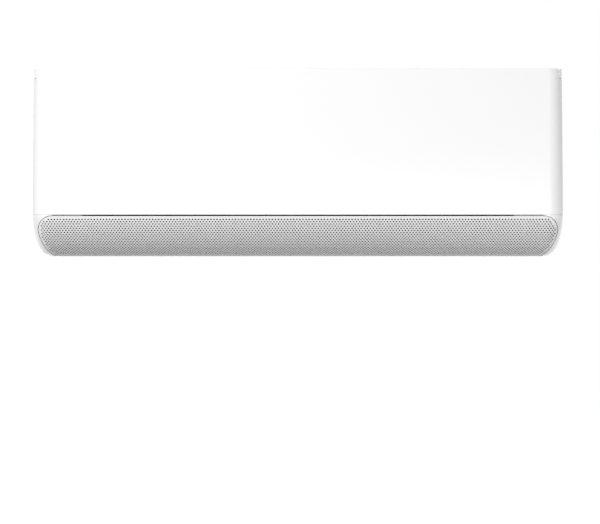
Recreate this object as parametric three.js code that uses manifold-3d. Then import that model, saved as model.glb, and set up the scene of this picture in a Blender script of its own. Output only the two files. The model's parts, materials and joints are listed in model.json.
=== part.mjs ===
// Mini split indoor unit: a wall-hung air conditioner indoor unit, in millimetres, +Z up.
// X runs to the right, the front faces -Y, and the origin is the centre of the mounting plate's back.
// Most places are written as (x, d, z), where d = -y is the depth in front of the wall.
import * as THREE from 'three';
import { mergeVertices } from 'three/addons/utils/BufferGeometryUtils.js';
import Module from 'manifold-3d';

const wasm = await Module();
wasm.setup();

// ---- Driving dimensions -------------------------------------------------------------------------

const gap = 0.3;            // clearance between pieces that touch
const runningGap = 0.4;     // clearance beside a piece that turns

const unit = {
  width: 835,
  height: 295,
  topDepth: 192,            // depth of the front at its top edge
  rearDepth: 2,             // the casing stops just short of the wall
  bulge: 2,                 // crown of the front between its top edge and the slot
  endRadius: 27,            // rounding of the vertical front edges, seen from above
  cornerRadius: 24,         // rounding of the lower corners, seen from the front
  sideRoom: 72.5,           // room at each end for the motor, pipes and electrics
};

// The places that the other pieces are set out from, so that they follow the unit's size.
const halfWidth = unit.width / 2;
const top = unit.height / 2;
const bottom = -top;
const ductEnd = halfWidth - unit.sideRoom;
const rearFoot = top - 87.5;        // lower end of the rear coil

const belly = {             // the curved lower front that the flap covers
  centreDepth: 118.2,
  radius: 95,
  startTilt: 20,            // degrees below level where the curve starts, at the slot
  steps: 7,
};
const casing = {
  wall: 2.8,
  innerSkin: 3.8,           // the frame behind the panel starts this far under the surface
  innerWall: 2.8,
  border: 4,
  windowLeft: 42,           // margins of the opening behind the panel
  windowRight: 62,
  windowTop: top - 19.5,
  windowBottom: bottom + 99.5,
  channelHalf: ductEnd + 27,
  channelEdge: 2,
  bossHeight: 5.2,
  socketMargin: 3,
  socketDepth: [5, 3],      // behind and in front of the hinge
  socketDrop: 4,
  lugRoomDrop: 14,
};
const panel = {
  wall: 2.5,
  slot: 1.9,                // the dark line between the panel and the flap
  seam: 0.3,                // below the panel's ends, where the casing takes over
  rearDepth: unit.topDepth - 16,
  topRearDepth: unit.topDepth - 8,
  step: top - 15.5,         // above this the panel starts further forward, to clear the casing
  gap: 1,
  topGap: 4,
  hingeDepth: unit.topDepth - 14,
  hingeHeight: top - 5.5,
  lugX: halfWidth - 17.5,
  lugThickness: 4,
  lugRadius: 2.4,
  armDrop: [8, 2.5],        // lower and upper edge of the lug's arm, below the hinge
  armReach: 5,
  armStart: 4,
  pinRadius: 1.2,
  pinLength: 5,
  ribHeights: [0, 60],
  ribHalf: halfWidth - 57.5,
  ribRear: unit.topDepth - 12,
  ribThickness: 2,
  ribDepth: 1,
};
const flap = {
  wall: 3,
  halfWidth: halfWidth - 9.2,
  top: bottom + 62.6,
  topRadius: 24,
  lowerRadius: 58,
  lowerRise: 43.5,          // the lower corners' centre above the unit's bottom
  lowerFrom: -45,           // the part of their circle, in degrees, that shows from the front
  lowerTo: -8,
  cornerSteps: 7,
  rearStep: 5,              // the sides step in this far behind the lower corners
  upperStep: 10,            // and stand straight from this far in front of them
  rearDepth: 118.5,
  pivotDepth: 121,
  pivotHeight: bottom + 7,
  lugRadius: 3.4,
  lugWidth: 8,
  lugFoot: 6,
  sideLugWidth: 4,
  notchDepth: 6,
  notchRise: 10,
  pinRadius: 1.6,
  boreHalf: 12,
  edgeGap: 1,
  cheekGap: 2,              // the casing's cheeks start this far outside the flap's rear corners
  sweepDepth: 7,            // room cut in the casing for the flap's rear edge as it turns
  sweepRise: 8,
  hinges: [-1, 0, 1].map((side) => side * (halfWidth - 117.5)),
};
const rack = {
  module: 1.2,
  fullTeeth: 75,
  pinionTeeth: 18,
  pinionAngle: 60,          // degrees from level at the flap's pivot to the pinion
  fromAngle: 2,
  teethFromAngle: 50,
  toAngle: 138,
  x: ductEnd + 7,
  width: 5,
  bodyDepth: 7,
  toothWidth: 0.8,          // share of half the pitch, which leaves backlash
  tip: 0.9,                 // in modules above and below the pitch circle
  root: 1.2,
  pressureAngle: 20,
  slotGap: 2.6,
  slotSide: 1,
  boreRadius: 2.5,
  stubLength: 9,
};
const stepper = {
  radius: 14,
  length: 19,
  earReach: 21,
  earHeight: 4,
  earThickness: 1.2,
  bracketThickness: 2,
  bracketGap: 2,
  bracketReach: 22,
  bracketDrop: 8,
  bracketRise: 19,
  footThickness: 3,
  footRear: 14,
  toeRise: 27,
};
const outlet = {
  outer: 5,                 // the frame's skin, this far under the outer surface
  inner: 7.5,
  halfMouth: ductEnd - 7,
  top: bottom + 68.1,
  lipFront: 112.5,
  lipRear: 96,
  lipRise: 8,
  cheekStep: 1,
  stripDrop: 4,
  sweepDepth: 8,
  sweepRise: 9,
  lugReach: [4, 6, 0],      // the hinge lugs' foot, behind the lip's front
  lugFootDrop: 1.5,
};
const duct = {
  endX: ductEnd,
  endWall: 3,
  sheet: 2.5,
  tongue: [140, bottom + 97.1],
  wallEnd: [190, bottom + 66.9],
  scroll: [[50, 153.5], [40, 137.5], [36, 119.5], [37.5, 101.5], [45, 81.5], [60, 63.5], [80, 47.5],
    [93, 29.5], [103, 9.2]].map(([d, rise]) => [d, bottom + rise]),
};
const back = {
  thickness: 3,
  bottom: bottom + 55.5,
  top: top - 10.5,
  channelDepth: 60,
  channelHeight: bottom + 55.5,
  channelCorner: [8, 9],
};
const plate = {
  width: unit.width - 215,
  bottom: bottom + 87.5,
  top: top - 29.5,
  thickness: 1.5,
  hookInset: 80,
  hookWidth: 26,
  hookDepth: 8,
  hookRise: 7,
  windowShare: 0.19355,     // pitch of the openings, as a share of the width
  windowHalf: 34,
  windowBottom: 60,
  windowTop: 50,
  holeInset: 50,
  holeX: 60,
  holeMargin: 25,
  holeRadius: 3,
};
const fan = {
  depth: 92,
  height: bottom + 119.5,
  radius: 48,
  halfLength: ductEnd - 10,
  discs: 4,
  discThickness: 3,
  blades: 26,
  bladeDepth: 13,
  bladeThickness: 1.5,
  bladeLean: 32,
  stubRadius: 5,
  bossRadius: 11,
  bossLength: 8,
};
const motor = {
  radius: 42,
  start: ductEnd + 12,
  length: 34,
  hubRadius: 16,
  hubLength: 6,
  rubber: 6,
  shaftRadius: 4,
  shaftInFan: 6,
  shaftInMotor: 20,
  shaftRoom: 4,
  cradleHalf: 32,
  cradleDrop: 40,
  cradleFoot: 18,
  cradleGap: 3,
  cradleBase: 4,
  clampRise: 12,
  clampHalf: 14,
  clampThickness: 3,
};
const bearing = { wall: 4, rubber: 4.4, length: 8, housingWall: 3.5 };
const pan = { troughRear: 144, troughFront: 186, troughFloor: bottom + 105.5, rim: bottom + 119.5,
  lean: 3, endWall: 2, spoutDepth: 164, spoutRise: 8, spoutRadius: 6, spoutBore: 4, spoutLength: 6 };
const coil = {
  thickness: 26,
  left: -ductEnd + 9.3,
  right: ductEnd - 34.3,
  plate: 2,
  grow: 2,
  bridge: [80, 112, top - 41.5, top - 21.5],      // depths and heights that join the two upper slabs
  foot: [152, 174],
  footRise: 12,
  bendRadius: 10.5,
  bendPlaces: [0.26, 0.74], // shares of a slab's length
  bendRoot: 1.5,
  tubeRadius: 3.5,
  slabs: {
    coil_front_lower: [[163, bottom + 111.5], [163, top - 99.5]],
    coil_front_upper: [[163, top - 89.5], [107, top - 19.5]],
    coil_rear: [[84, top - 25.5], [26, rearFoot]],
  },
};
const cheek = {             // the chassis' end walls, in the side view
  rear: [3, 24],
  top: [[52, 64], [92, 62], [136, 62]],           // rise above the fan's middle
  front: [[143, 2], [188, -6]],                   // rise above the pan's rim
  slot: [192, bottom + 65.5],
  curveFrom: -24,
  curveTo: -84,
  foot: [[98, 8.5], [80, 35.5], [58, 50.5]],      // rise above the unit's bottom
  footDepth: 40,
};
const gutter = [[3, 0], [12, -14], [44, -16], [50, -8]].map(([d, rise]) => [d, rearFoot + rise]);
const web = [[3, 167.5], [30, 167.5], [50, 153.5]].map(([d, rise]) => [d, bottom + rise]);
const vane = {
  spacing: (ductEnd - 45) / 5,
  perBank: 5,
  firstX: (ductEnd - 45) / 6,
  wallPoint: 0.5,           // share of the way along the duct's upper wall
  halfChord: 18,
  top: 3,
  bottom: 42,
  tipCut: 4,
  tipLean: 6,
  tailLean: 2,
  thickness: 1.6,
  pivotRadius: 1.6,
  pivotReach: 5,
  linkOffset: 12,
  linkPinRadius: 1,
  linkPinLength: 4.6,
  linkWidth: 6,
  linkThickness: 3,
  linkEnd: 6,
};
const swingMotor = { radius: 10, length: 11, boreLength: 6 };
const inlet = { halfWidth: halfWidth - 21, front: 168, rear: 16, cutFrom: 47.5 };
const filter = { frame: 7, thickness: 2.5, mesh: 0.8, meshRise: 0.6, meshEdge: 2, middle: 3, bars: 3,
  bar: 3, barDrop: 0.4 };
const grille = { thickness: 4.4, lengthBars: 3, crossBars: 7, bar: 2.4, edge: 6, side: 8, rear: 6,
  front: 2.5, barRise: 1, barDrop: 0.5 };
const box = { left: ductEnd + 7, right: halfWidth - 11.5, rear: 141, front: 176, bottom: bottom + 87.5,
  top: top - 31.5, wall: 2, seat: [146, 172, 2, 18], lip: 1, vents: 5, ventPitch: 8, ventHeight: 3,
  ventDrop: 46, ventMargin: 12 };
const board = {
  thickness: 1.6,
  depth: 160,
  left: box.left + 3,
  right: box.right - 3,
  bottom: box.bottom + 6,
  top: box.top - 56,
  postInset: 5,
  postRadius: 3,
  cans: [[11, 24, 8, 14, 16], [31, 20, 6, 13, 14]],             // x, z, radius, height, sides
  chips: [[5, 29, 56, 32, 14], [33, 44, 52, 36, 12], [7, 41, 20, 10, 6]],   // x, x, drop, drop, height
};
const terminals = { margin: 6, top: 24, bottom: 44, count: 6, wall: 1.5, depth: 10, wallDepth: 18 };
const display = { left: ductEnd - 100, right: ductEnd - 5, bottom: bottom + 71.5, top: bottom + 87.5,
  standoff: 4, toggle: 1, toggleHalf: 3, lamps: 3, lampStart: 50, lampPitch: 10, lamp: 5, lampRise: 5,
  lampHeight: 3, postRadius: 2.5, postInset: [20, 5], postDrop: 3 };
const button = { x: display.left + 10, z: bottom + 79.5, radius: 4, travel: 1.5, bore: [150, 230] };
const screw = { xs: [-1, 0, 1].map((side) => side * (ductEnd - 95)), depth: 70.3, headRadius: 4,
  head: 2.2, radius: 1.8, length: 14, boss: 9.6, bossFrom: 5.5, bossTo: 19, boreTo: 17.5,
  casingBoss: 8, casingBore: 9 };
const plug = { length: 12, headRadius: 7, headLength: 4 };
const gasPipe = {           // x is counted from the duct's end
  radius: 4.76,
  end: ductEnd - 155,
  route: [[-27, 55, top - 56.5], [-7, 52, top - 57.5], [19, 40, top - 73.5], [41, 26, top - 103.5],
    [43, 22, 0], [43, 20, bottom + 63.5], [34, 22, bottom + 34.5], [0, 24, bottom + 26.5],
    [-85, 24, bottom + 26.5]],
};
const liquidPipe = {
  radius: 3.18,
  end: ductEnd - 195,
  route: [[-27, 135, top - 54.5], [-12, 128, top - 54.5], [-4, 100, top - 63.5], [6, 64, top - 91.5],
    [19, 34, top - 121.5], [23, 24, 0], [23, 24, bottom + 71.5], [15, 24, bottom + 49.5],
    [-10, 24, bottom + 43.5], [-105, 24, bottom + 43.5]],
};
const nut = { length: 22, wall: 4.5, overlap: 4 };
const pipeSides = 7;
const pipeSteps = 26;

// ---- Worked out from them -------------------------------------------------------------------------

const bellyHeight = bottom + belly.radius;
const far = 600;
const rad = THREE.MathUtils.degToRad;
const rackRadius = rack.module * rack.fullTeeth / 2;
const pinionRadius = rack.module * rack.pinionTeeth / 2;
const pinionDistance = rackRadius + pinionRadius;
const panelBottom = flap.top + panel.slot;
const lowerCentre = [flap.halfWidth - flap.lowerRadius, bottom + flap.lowerRise];
const cheekX = lowerCentre[0] + flap.lowerRadius * Math.cos(rad(flap.lowerFrom)) + flap.cheekGap;
const flapPivot = [flap.pivotDepth, flap.pivotHeight];
const fanCentre = [fan.depth, fan.height];
const hookX = plate.width / 2 - plate.hookInset;
const motorEnd = motor.start + motor.length;
const rubberInner = motor.hubRadius + gap;
const rubberSeat = rubberInner + motor.rubber + gap;
const pinion = {
  depth: flap.pivotDepth + pinionDistance * Math.cos(rad(rack.pinionAngle)),
  height: flap.pivotHeight + pinionDistance * Math.sin(rad(rack.pinionAngle)),
};
const ductTilt = Math.atan2(duct.tongue[1] - duct.wallEnd[1], duct.wallEnd[0] - duct.tongue[0]);
const vaneSeat = duct.tongue.map((value, i) => value + vane.wallPoint * (duct.wallEnd[i] - value));

// ---- Materials ------------------------------------------------------------------------------------

function finish(color, roughness, metalness = 0) {
  return new THREE.MeshStandardMaterial({ color, roughness, metalness });
}
const casingWhite = finish(0xf4f5f4, 0.35);
const panelWhite = finish(0xf6f7f6, 0.22);
const flapWhite = finish(0xeeefee, 0.4);
const innerWhite = finish(0xd9dcdb, 0.5);
const darkPlastic = finish(0x2b2d2f, 0.55);
const greyPlastic = finish(0x8d9192, 0.5);
const rubber = finish(0x1c1c1d, 0.85);
const steel = finish(0xb9bcbd, 0.35, 0.9);
const zinc = finish(0xa9adae, 0.45, 0.85);
const aluminium = finish(0xc9ccce, 0.4, 0.9);
const copper = finish(0xb87352, 0.35, 0.95);
const brass = finish(0xb8995a, 0.35, 0.95);
const foam = finish(0xe6e7e4, 0.9);
const circuitGreen = finish(0x2f6b46, 0.5);
const filterGrey = finish(0x5d6468, 0.7);

// ---- Solids ---------------------------------------------------------------------------------------

function solidOf(geometry) {
  const bare = geometry.index ? geometry : geometry.clone();
  bare.deleteAttribute('normal');
  bare.deleteAttribute('uv');
  const merged = mergeVertices(bare, 1e-4);
  const mesh = new wasm.Mesh({
    numProp: 3,
    vertProperties: new Float32Array(merged.attributes.position.array),
    triVerts: new Uint32Array(merged.index.array),
  });
  return new wasm.Manifold(mesh);
}

function geometryOf(solid) {
  const mesh = solid.getMesh();
  const geometry = new THREE.BufferGeometry();
  geometry.setAttribute('position', new THREE.BufferAttribute(mesh.vertProperties, 3));
  geometry.setIndex(new THREE.BufferAttribute(mesh.triVerts, 1));
  return geometry;
}

function join(...solids) {
  return solids.reduce((all, next) => all.add(next));
}

function cut(solid, ...tools) {
  return tools.reduce((left, tool) => left.subtract(tool), solid);
}

function block(x0, x1, d0, d1, z0, z1) {
  const geometry = new THREE.BoxGeometry(x1 - x0, d1 - d0, z1 - z0);
  geometry.translate((x0 + x1) / 2, -(d0 + d1) / 2, (z0 + z1) / 2);
  return solidOf(geometry);
}

function extrude(points, length) {
  const shape = new THREE.Shape(points.map(([u, v]) => new THREE.Vector2(u, v)));
  return new THREE.ExtrudeGeometry(shape, { depth: length, bevelEnabled: false });
}

// A side view (depth, height) drawn out along X.
function sidePrism(outline, x0, x1) {
  const axes = new THREE.Matrix4().makeBasis(
    new THREE.Vector3(0, 1, 0), new THREE.Vector3(0, 0, 1), new THREE.Vector3(1, 0, 0));
  const geometry = extrude(outline.map(([d, z]) => [-d, z]), x1 - x0);
  return solidOf(geometry.applyMatrix4(axes).translate(x0, 0, 0));
}

// A front view (x, height) drawn out in depth.
function frontPrism(outline, d0, d1) {
  const axes = new THREE.Matrix4().makeBasis(
    new THREE.Vector3(1, 0, 0), new THREE.Vector3(0, 0, 1), new THREE.Vector3(0, -1, 0));
  return solidOf(extrude(outline, d1 - d0).applyMatrix4(axes).translate(0, -d0, 0));
}

// A plan (x, depth) drawn out upwards.
function planPrism(outline, z0, z1) {
  return solidOf(extrude(outline.map(([x, d]) => [x, -d]), z1 - z0).translate(0, 0, z0));
}

// A cylinder along X.
function barrel(d, z, radius, x0, x1, sides = 16) {
  const geometry = new THREE.CylinderGeometry(radius, radius, x1 - x0, sides);
  geometry.rotateZ(Math.PI / 2).translate((x0 + x1) / 2, -d, z);
  return solidOf(geometry);
}

// A cylinder along Z.
function post(x, d, radius, z0, z1, sides = 16) {
  const geometry = new THREE.CylinderGeometry(radius, radius, z1 - z0, sides);
  geometry.rotateX(Math.PI / 2).translate(x, -d, (z0 + z1) / 2);
  return solidOf(geometry);
}

// A cylinder along Y.
function stud(x, z, radius, d0, d1, sides = 16) {
  const geometry = new THREE.CylinderGeometry(radius, radius, d1 - d0, sides);
  return solidOf(geometry.translate(x, -(d0 + d1) / 2, z));
}

function polar(centre, radius, angle) {
  return [centre[0] + radius * Math.cos(rad(angle)), centre[1] + radius * Math.sin(rad(angle))];
}

function arc(centre, radius, from, to, steps) {
  return Array.from({ length: steps + 1 }, (_, i) => polar(centre, radius, from + (to - from) * i / steps));
}

// The closed outline of a sheet of even thickness along a line of points.
function sheetOutline(points, thickness) {
  const sides = [1, -1].map((side) => points.map((point, i) => {
    const before = points[Math.max(i - 1, 0)];
    const after = points[Math.min(i + 1, points.length - 1)];
    const run = new THREE.Vector2(after[0] - before[0], after[1] - before[1]).normalize();
    const shift = side * thickness / 2;
    return [point[0] - run.y * shift, point[1] + run.x * shift];
  }));
  return [...sides[0], ...sides[1].reverse()];
}

function tube(points, radius, sides, steps) {
  const path = new THREE.CatmullRomCurve3(
    points.map(([x, d, z]) => new THREE.Vector3(x, -d, z)), false, 'centripetal');
  const section = new THREE.Shape(arc([0, 0], radius, 0, 360 - 360 / sides, sides - 1)
    .map(([u, v]) => new THREE.Vector2(u, v)));
  return new THREE.ExtrudeGeometry(section, { steps, extrudePath: path, bevelEnabled: false });
}

// Rings of points joined into one closed body, with a middle point on each end.
function loft(rings) {
  const size = rings[0].length;
  const positions = rings.flat(2);
  const faces = [];
  for (let r = 0; r < rings.length - 1; r += 1) {
    for (let i = 0; i < size; i += 1) {
      const a = r * size + i;
      const b = r * size + (i + 1) % size;
      faces.push(a, b, a + size, b, b + size, a + size);
    }
  }
  [[0, 1], [rings.length - 1, -1]].forEach(([r, turn]) => {
    const middle = positions.length / 3;
    const sum = [0, 1, 2].map((k) => rings[r].reduce((total, p) => total + p[k], 0) / size);
    positions.push(...sum);
    for (let i = 0; i < size; i += 1) {
      const a = r * size + i;
      const b = r * size + (i + 1) % size;
      faces.push(...(turn > 0 ? [b, a, middle] : [a, b, middle]));
    }
  });
  const geometry = new THREE.BufferGeometry();
  geometry.setAttribute('position', new THREE.Float32BufferAttribute(positions, 3));
  geometry.setIndex(faces);
  return solidOf(geometry);
}

// ---- The outer form -------------------------------------------------------------------------------

const slotHeight = bellyHeight - belly.radius * Math.sin(rad(belly.startTilt));
const slotDepth = belly.centreDepth + belly.radius * Math.cos(rad(belly.startTilt));

// Depth of the front surface above the slot, on the flat of the front.
function frontDepth(z) {
  const share = (top - z) / (top - slotHeight);
  return unit.topDepth + (slotDepth - unit.topDepth) * share + 4 * unit.bulge * share * (1 - share);
}

function sideProfile(inset, frontInset, lift, rear) {
  const radius = belly.radius - inset;
  const curve = arc([belly.centreDepth, bellyHeight], radius, -belly.startTilt, -90, belly.steps);
  const start = curve[0];
  const floor = bottom + inset;
  const squeeze = (start[1] - floor - lift) / (start[1] - floor);
  const lower = curve.map(([d, z]) => [d - frontInset, start[1] + (z - start[1]) * squeeze]);
  const upper = [0, 0.33, 0.67].map((share) => {
    const z = top - inset + (start[1] - top + inset) * share;
    return [frontDepth(z) - inset - frontInset, z];
  });
  return [[rear, top - inset], ...upper, ...lower, [rear, floor + lift]];
}

// The whole outer form, drawn in by an even inset.
function envelope(inset, rear = unit.rearDepth) {
  const half = halfWidth - inset;
  const endRadius = unit.endRadius - inset;
  const cornerRadius = unit.cornerRadius - inset;
  const turns = [0, 18, 35, 50, 64, 77, 90];
  const reach = turns.map((turn) => half - cornerRadius + cornerRadius * Math.sin(rad(turn)));
  const stations = [...reach.map((x) => -x).reverse(), ...reach];
  return loft(stations.map((x) => {
    const profile = sideProfile(inset, rounding(x, half, endRadius),
      rounding(x, half, cornerRadius), rear);
    return profile.map(([d, z]) => [x, -d, z]);
  }));
}

function skin(outer, inner) {
  return envelope(outer).subtract(envelope(inner, -far));
}

// The room the panel takes, which starts further forward near its hinge.
function panelZone(low, high, step, floor) {
  return join(block(-far, far, low, far, floor, step), block(-far, far, high, far, floor, far));
}

// How far the envelope's corner rounding has drawn a surface in at this x.
function rounding(x, half, radius) {
  const past = Math.max(Math.abs(x) - (half - radius), 0);
  return radius - Math.sqrt(Math.max(radius * radius - past * past, 0));
}

// Depth of the belly's outer surface at a point given in the front view.
function bellyDepth(x, z) {
  const squeeze = 1 - rounding(x, halfWidth, unit.cornerRadius) / (slotHeight - bottom);
  const plainHeight = slotHeight + (z - slotHeight) / squeeze;
  const sine = Math.min((bellyHeight - plainHeight) / belly.radius, 1);
  return belly.centreDepth + belly.radius * Math.sqrt(1 - sine * sine)
    - rounding(x, halfWidth, unit.endRadius);
}

// The room of the flap: rounded upper corners from the front, and from below the line on which
// its rounded lower corners, as seen from the front, meet the belly.
function flapZone(grow) {
  const half = flap.halfWidth + grow;
  const crown = flap.top + grow;
  const upper = flap.topRadius + grow;
  const right = [[half, -far], ...arc([half - upper, crown - upper], upper, 0, 90, flap.cornerSteps)];
  const front = frontPrism([...right, ...right.map(([x, z]) => [-x, z]).reverse()], 0, far);
  const corner = arc(lowerCentre, flap.lowerRadius, flap.lowerFrom, flap.lowerTo, flap.cornerSteps)
    .map(([x, z]) => [x + grow, bellyDepth(x, z) - grow]);
  const rearX = corner[0][0] - flap.rearStep;
  const side = [[rearX, -far], [rearX, flap.rearDepth - grow], ...corner,
    [half, corner[corner.length - 1][1] + flap.upperStep], [half, far]];
  const plan = planPrism([...side, ...side.map(([x, d]) => [-x, d]).reverse()], -far, far);
  return front.intersect(plan);
}

// ---- Shells ---------------------------------------------------------------------------------------

// A block on both sides of the unit, between two distances from its middle.
function pairOfBlocks(near, reach, d0, d1, z0, z1) {
  return [block(near, reach, d0, d1, z0, z1), block(-reach, -near, d0, d1, z0, z1)];
}

function outerCasing() {
  const rear = panel.rearDepth - panel.gap;
  const panelRoom = panelZone(rear, panel.topRearDepth - panel.topGap, panel.step + panel.gap,
    panelBottom - panel.seam);
  const slotEnd = flap.halfWidth - flap.topRadius;
  const flapRoom = flapZone(flap.edgeGap).intersect(block(-far, far, outlet.lipFront, far, -far, far))
    .add(block(-cheekX, cheekX, outlet.lipFront, flap.pivotDepth + flap.sweepDepth, -far,
      bottom + flap.sweepRise))
    .add(block(-slotEnd, slotEnd, outlet.lipFront, far, flap.top, panelBottom));
  const outer = cut(skin(0, casing.wall), panelRoom, flapRoom);
  const innerDepth = casing.innerSkin + casing.innerWall;
  const nearPanel = block(-far, far, rear - casing.border, far, -far, far);
  const border = skin(casing.wall / 2, innerDepth).intersect(nearPanel)
    .intersect(cut(block(-far, far, 0, far, outlet.top, far), panelRoom));
  const face = cut(
    skin(casing.innerSkin, innerDepth)
      .intersect(block(-far, far, rear - casing.border, far, outlet.top + gap, far)),
    block(-halfWidth + casing.windowLeft, halfWidth - casing.windowRight, panel.rearDepth, far,
      casing.windowBottom, casing.windowTop));
  const lugEnd = panel.lugX + panel.lugThickness;
  const sockets = pairOfBlocks(lugEnd + gap, lugEnd + gap + panel.pinLength + casing.socketMargin,
    panel.hingeDepth - casing.socketDepth[0], panel.hingeDepth + casing.socketDepth[1],
    panel.hingeHeight - casing.socketDrop, top - casing.wall / 2);
  const lugRooms = pairOfBlocks(panel.lugX - gap, lugEnd + gap,
    panel.hingeDepth - casing.socketDepth[0], far,
    panel.hingeHeight - casing.lugRoomDrop, panel.hingeHeight + panel.lugRadius + gap);
  const bores = [-1, 1].map((side) => {
    const ends = [side * panel.lugX, side * (lugEnd + panel.pinLength + 1)];
    return barrel(panel.hingeDepth, panel.hingeHeight, panel.pinRadius + gap,
      Math.min(...ends), Math.max(...ends), 12);
  });
  const inletHole = block(-inlet.halfWidth, inlet.halfWidth, inlet.rear, inlet.front,
    top - inlet.cutFrom, far);
  const channel = block(-casing.channelHalf, casing.channelHalf, -far,
    back.channelDepth - casing.channelEdge, -far, back.channelHeight);
  const bosses = screw.xs.map((x) => post(x, screw.depth, screw.casingBoss, bottom + 1,
    bottom + casing.bossHeight));
  const holes = screw.xs.flatMap((x) => [
    post(x, screw.depth, screw.headRadius + gap, bottom - 1, bottom + screw.head + gap),
    post(x, screw.depth, screw.radius + gap, bottom, bottom + screw.casingBore, 12),
  ]);
  const buttonHole = stud(button.x, button.z, button.radius + gap, ...button.bore);
  return cut(join(outer, border, face, ...sockets, ...bosses),
    inletHole, channel, ...lugRooms, ...bores, ...holes, buttonHole);
}

function frontPanel() {
  const zone = panelZone(panel.rearDepth, panel.topRearDepth, panel.step, panelBottom);
  const shell = skin(0, panel.wall).intersect(zone);
  const ribs = skin(panel.wall / 2, panel.wall + panel.ribDepth).intersect(join(
    ...panel.ribHeights.map((z) => block(-panel.ribHalf, panel.ribHalf, panel.ribRear, far,
      z, z + panel.ribThickness))));
  const lugs = [-1, 1].map((side) => {
    const x0 = side > 0 ? panel.lugX : -panel.lugX - panel.lugThickness;
    const arm = sidePrism([
      ...arc([panel.hingeDepth, panel.hingeHeight], panel.lugRadius, 60, 270, 7),
      [unit.topDepth + panel.armReach, panel.hingeHeight - panel.armDrop[0]],
      [unit.topDepth + panel.armReach, panel.hingeHeight - panel.armDrop[1]],
      [panel.hingeDepth + panel.armStart, panel.hingeHeight - panel.armDrop[1]],
    ], x0, x0 + panel.lugThickness).intersect(envelope(panel.wall / 2));
    const end = side * (panel.lugX + panel.lugThickness + panel.pinLength);
    const start = side * (panel.lugX + 1);
    const pin = barrel(panel.hingeDepth, panel.hingeHeight, panel.pinRadius,
      Math.min(start, end), Math.max(start, end), 12);
    return join(arm, pin);
  });
  return join(shell, ribs, ...lugs);
}

function outletFrame() {
  const zone = join(
    block(-far, far, outlet.lipRear, far, -far, flap.pivotHeight + outlet.lipRise),
    block(-far, far, outlet.lipFront, far, -far, outlet.top));
  const mouth = block(-outlet.halfMouth, outlet.halfMouth, outlet.lipFront, far, -far, far);
  const stripBottom = panelBottom - outlet.stripDrop;
  const cheeks = cut(skin(casing.wall + gap, outlet.inner).intersect(zone),
    flapZone(flap.edgeGap + outlet.cheekStep),
    block(-cheekX - outlet.cheekStep, cheekX + outlet.cheekStep, 0, far, -far, stripBottom));
  const strip = block(-far, far, outlet.lipFront, far, stripBottom, far);
  const shell = join(skin(outlet.outer, outlet.inner).intersect(zone), cut(cheeks, strip));
  const sweep = block(-cheekX, cheekX, outlet.lipFront, flap.pivotDepth + outlet.sweepDepth, -far,
    flap.pivotHeight + outlet.sweepRise);
  const [high, middle, low] = outlet.lugReach.map((reach) => outlet.lipFront - reach);
  const lugs = flap.hinges.flatMap((x) => [-1, 1].map((side) => {
    const inner = flap.lugWidth / 2 + runningGap;
    const x0 = side > 0 ? x + inner : x - inner - flap.sideLugWidth;
    return sidePrism([
      ...arc(flapPivot, flap.lugRadius, -90, 90, 8),
      [high, flap.pivotHeight + flap.lugRadius],
      [middle, flap.pivotHeight - outlet.lugFootDrop],
      [low, flap.pivotHeight - flap.lugRadius + 1],
    ], x0, x0 + flap.sideLugWidth);
  }));
  const bores = flap.hinges.map((x) => barrel(...flapPivot, flap.pinRadius + gap,
    x - flap.boreHalf, x + flap.boreHalf));
  const rackSlot = sidePrism([
    ...arc(flapPivot, rackRadius + rack.slotGap, -60, 140, 24),
    ...arc(flapPivot, rackRadius - rack.bodyDepth - rack.slotGap, 140, -60, 20),
  ], rack.x - rack.slotSide, rack.x + rack.width + rack.slotSide);
  return cut(join(cut(shell, mouth, sweep), ...lugs), ...bores, rackSlot);
}

// ---- Flap and its drive ---------------------------------------------------------------------------

// One gear tooth as four points, root to root, about a centre in the side view.
function tooth(centre, pitchRadius, teeth, angle) {
  const half = Math.PI / 2 / teeth * rack.toothWidth;
  const slope = Math.tan(rad(rack.pressureAngle));
  const tip = pitchRadius + rack.module * rack.tip;
  const root = pitchRadius - rack.module * rack.root;
  const at = (radius, offset) => [
    centre[0] + radius * Math.cos(rad(angle) + offset),
    centre[1] + radius * Math.sin(rad(angle) + offset),
  ];
  const tipHalf = half - slope * (tip - pitchRadius) / pitchRadius;
  const rootHalf = half + slope * (pitchRadius - root) / pitchRadius;
  return [at(root, -rootHalf), at(tip, -tipHalf), at(tip, tipHalf), at(root, rootHalf)];
}

function curvedRack() {
  const pitch = 360 / rack.fullTeeth;
  const root = rackRadius - rack.module * rack.root;
  const below = Math.floor((rack.pinionAngle - rack.teethFromAngle) / pitch - 0.5);
  const above = Math.floor((rack.toAngle - 2 - rack.pinionAngle) / pitch - 0.5);
  const teeth = [];
  for (let i = -below - 1; i <= above; i += 1) {
    teeth.push(...tooth(flapPivot, rackRadius, rack.fullTeeth, rack.pinionAngle + (i + 0.5) * pitch));
  }
  return sidePrism([
    ...arc(flapPivot, root, rack.fromAngle, rack.teethFromAngle - 6, 8),
    ...teeth,
    polar(flapPivot, root, rack.toAngle),
    ...arc(flapPivot, rackRadius - rack.bodyDepth, rack.toAngle, rack.fromAngle, 16),
  ], rack.x, rack.x + rack.width);
}

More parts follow.
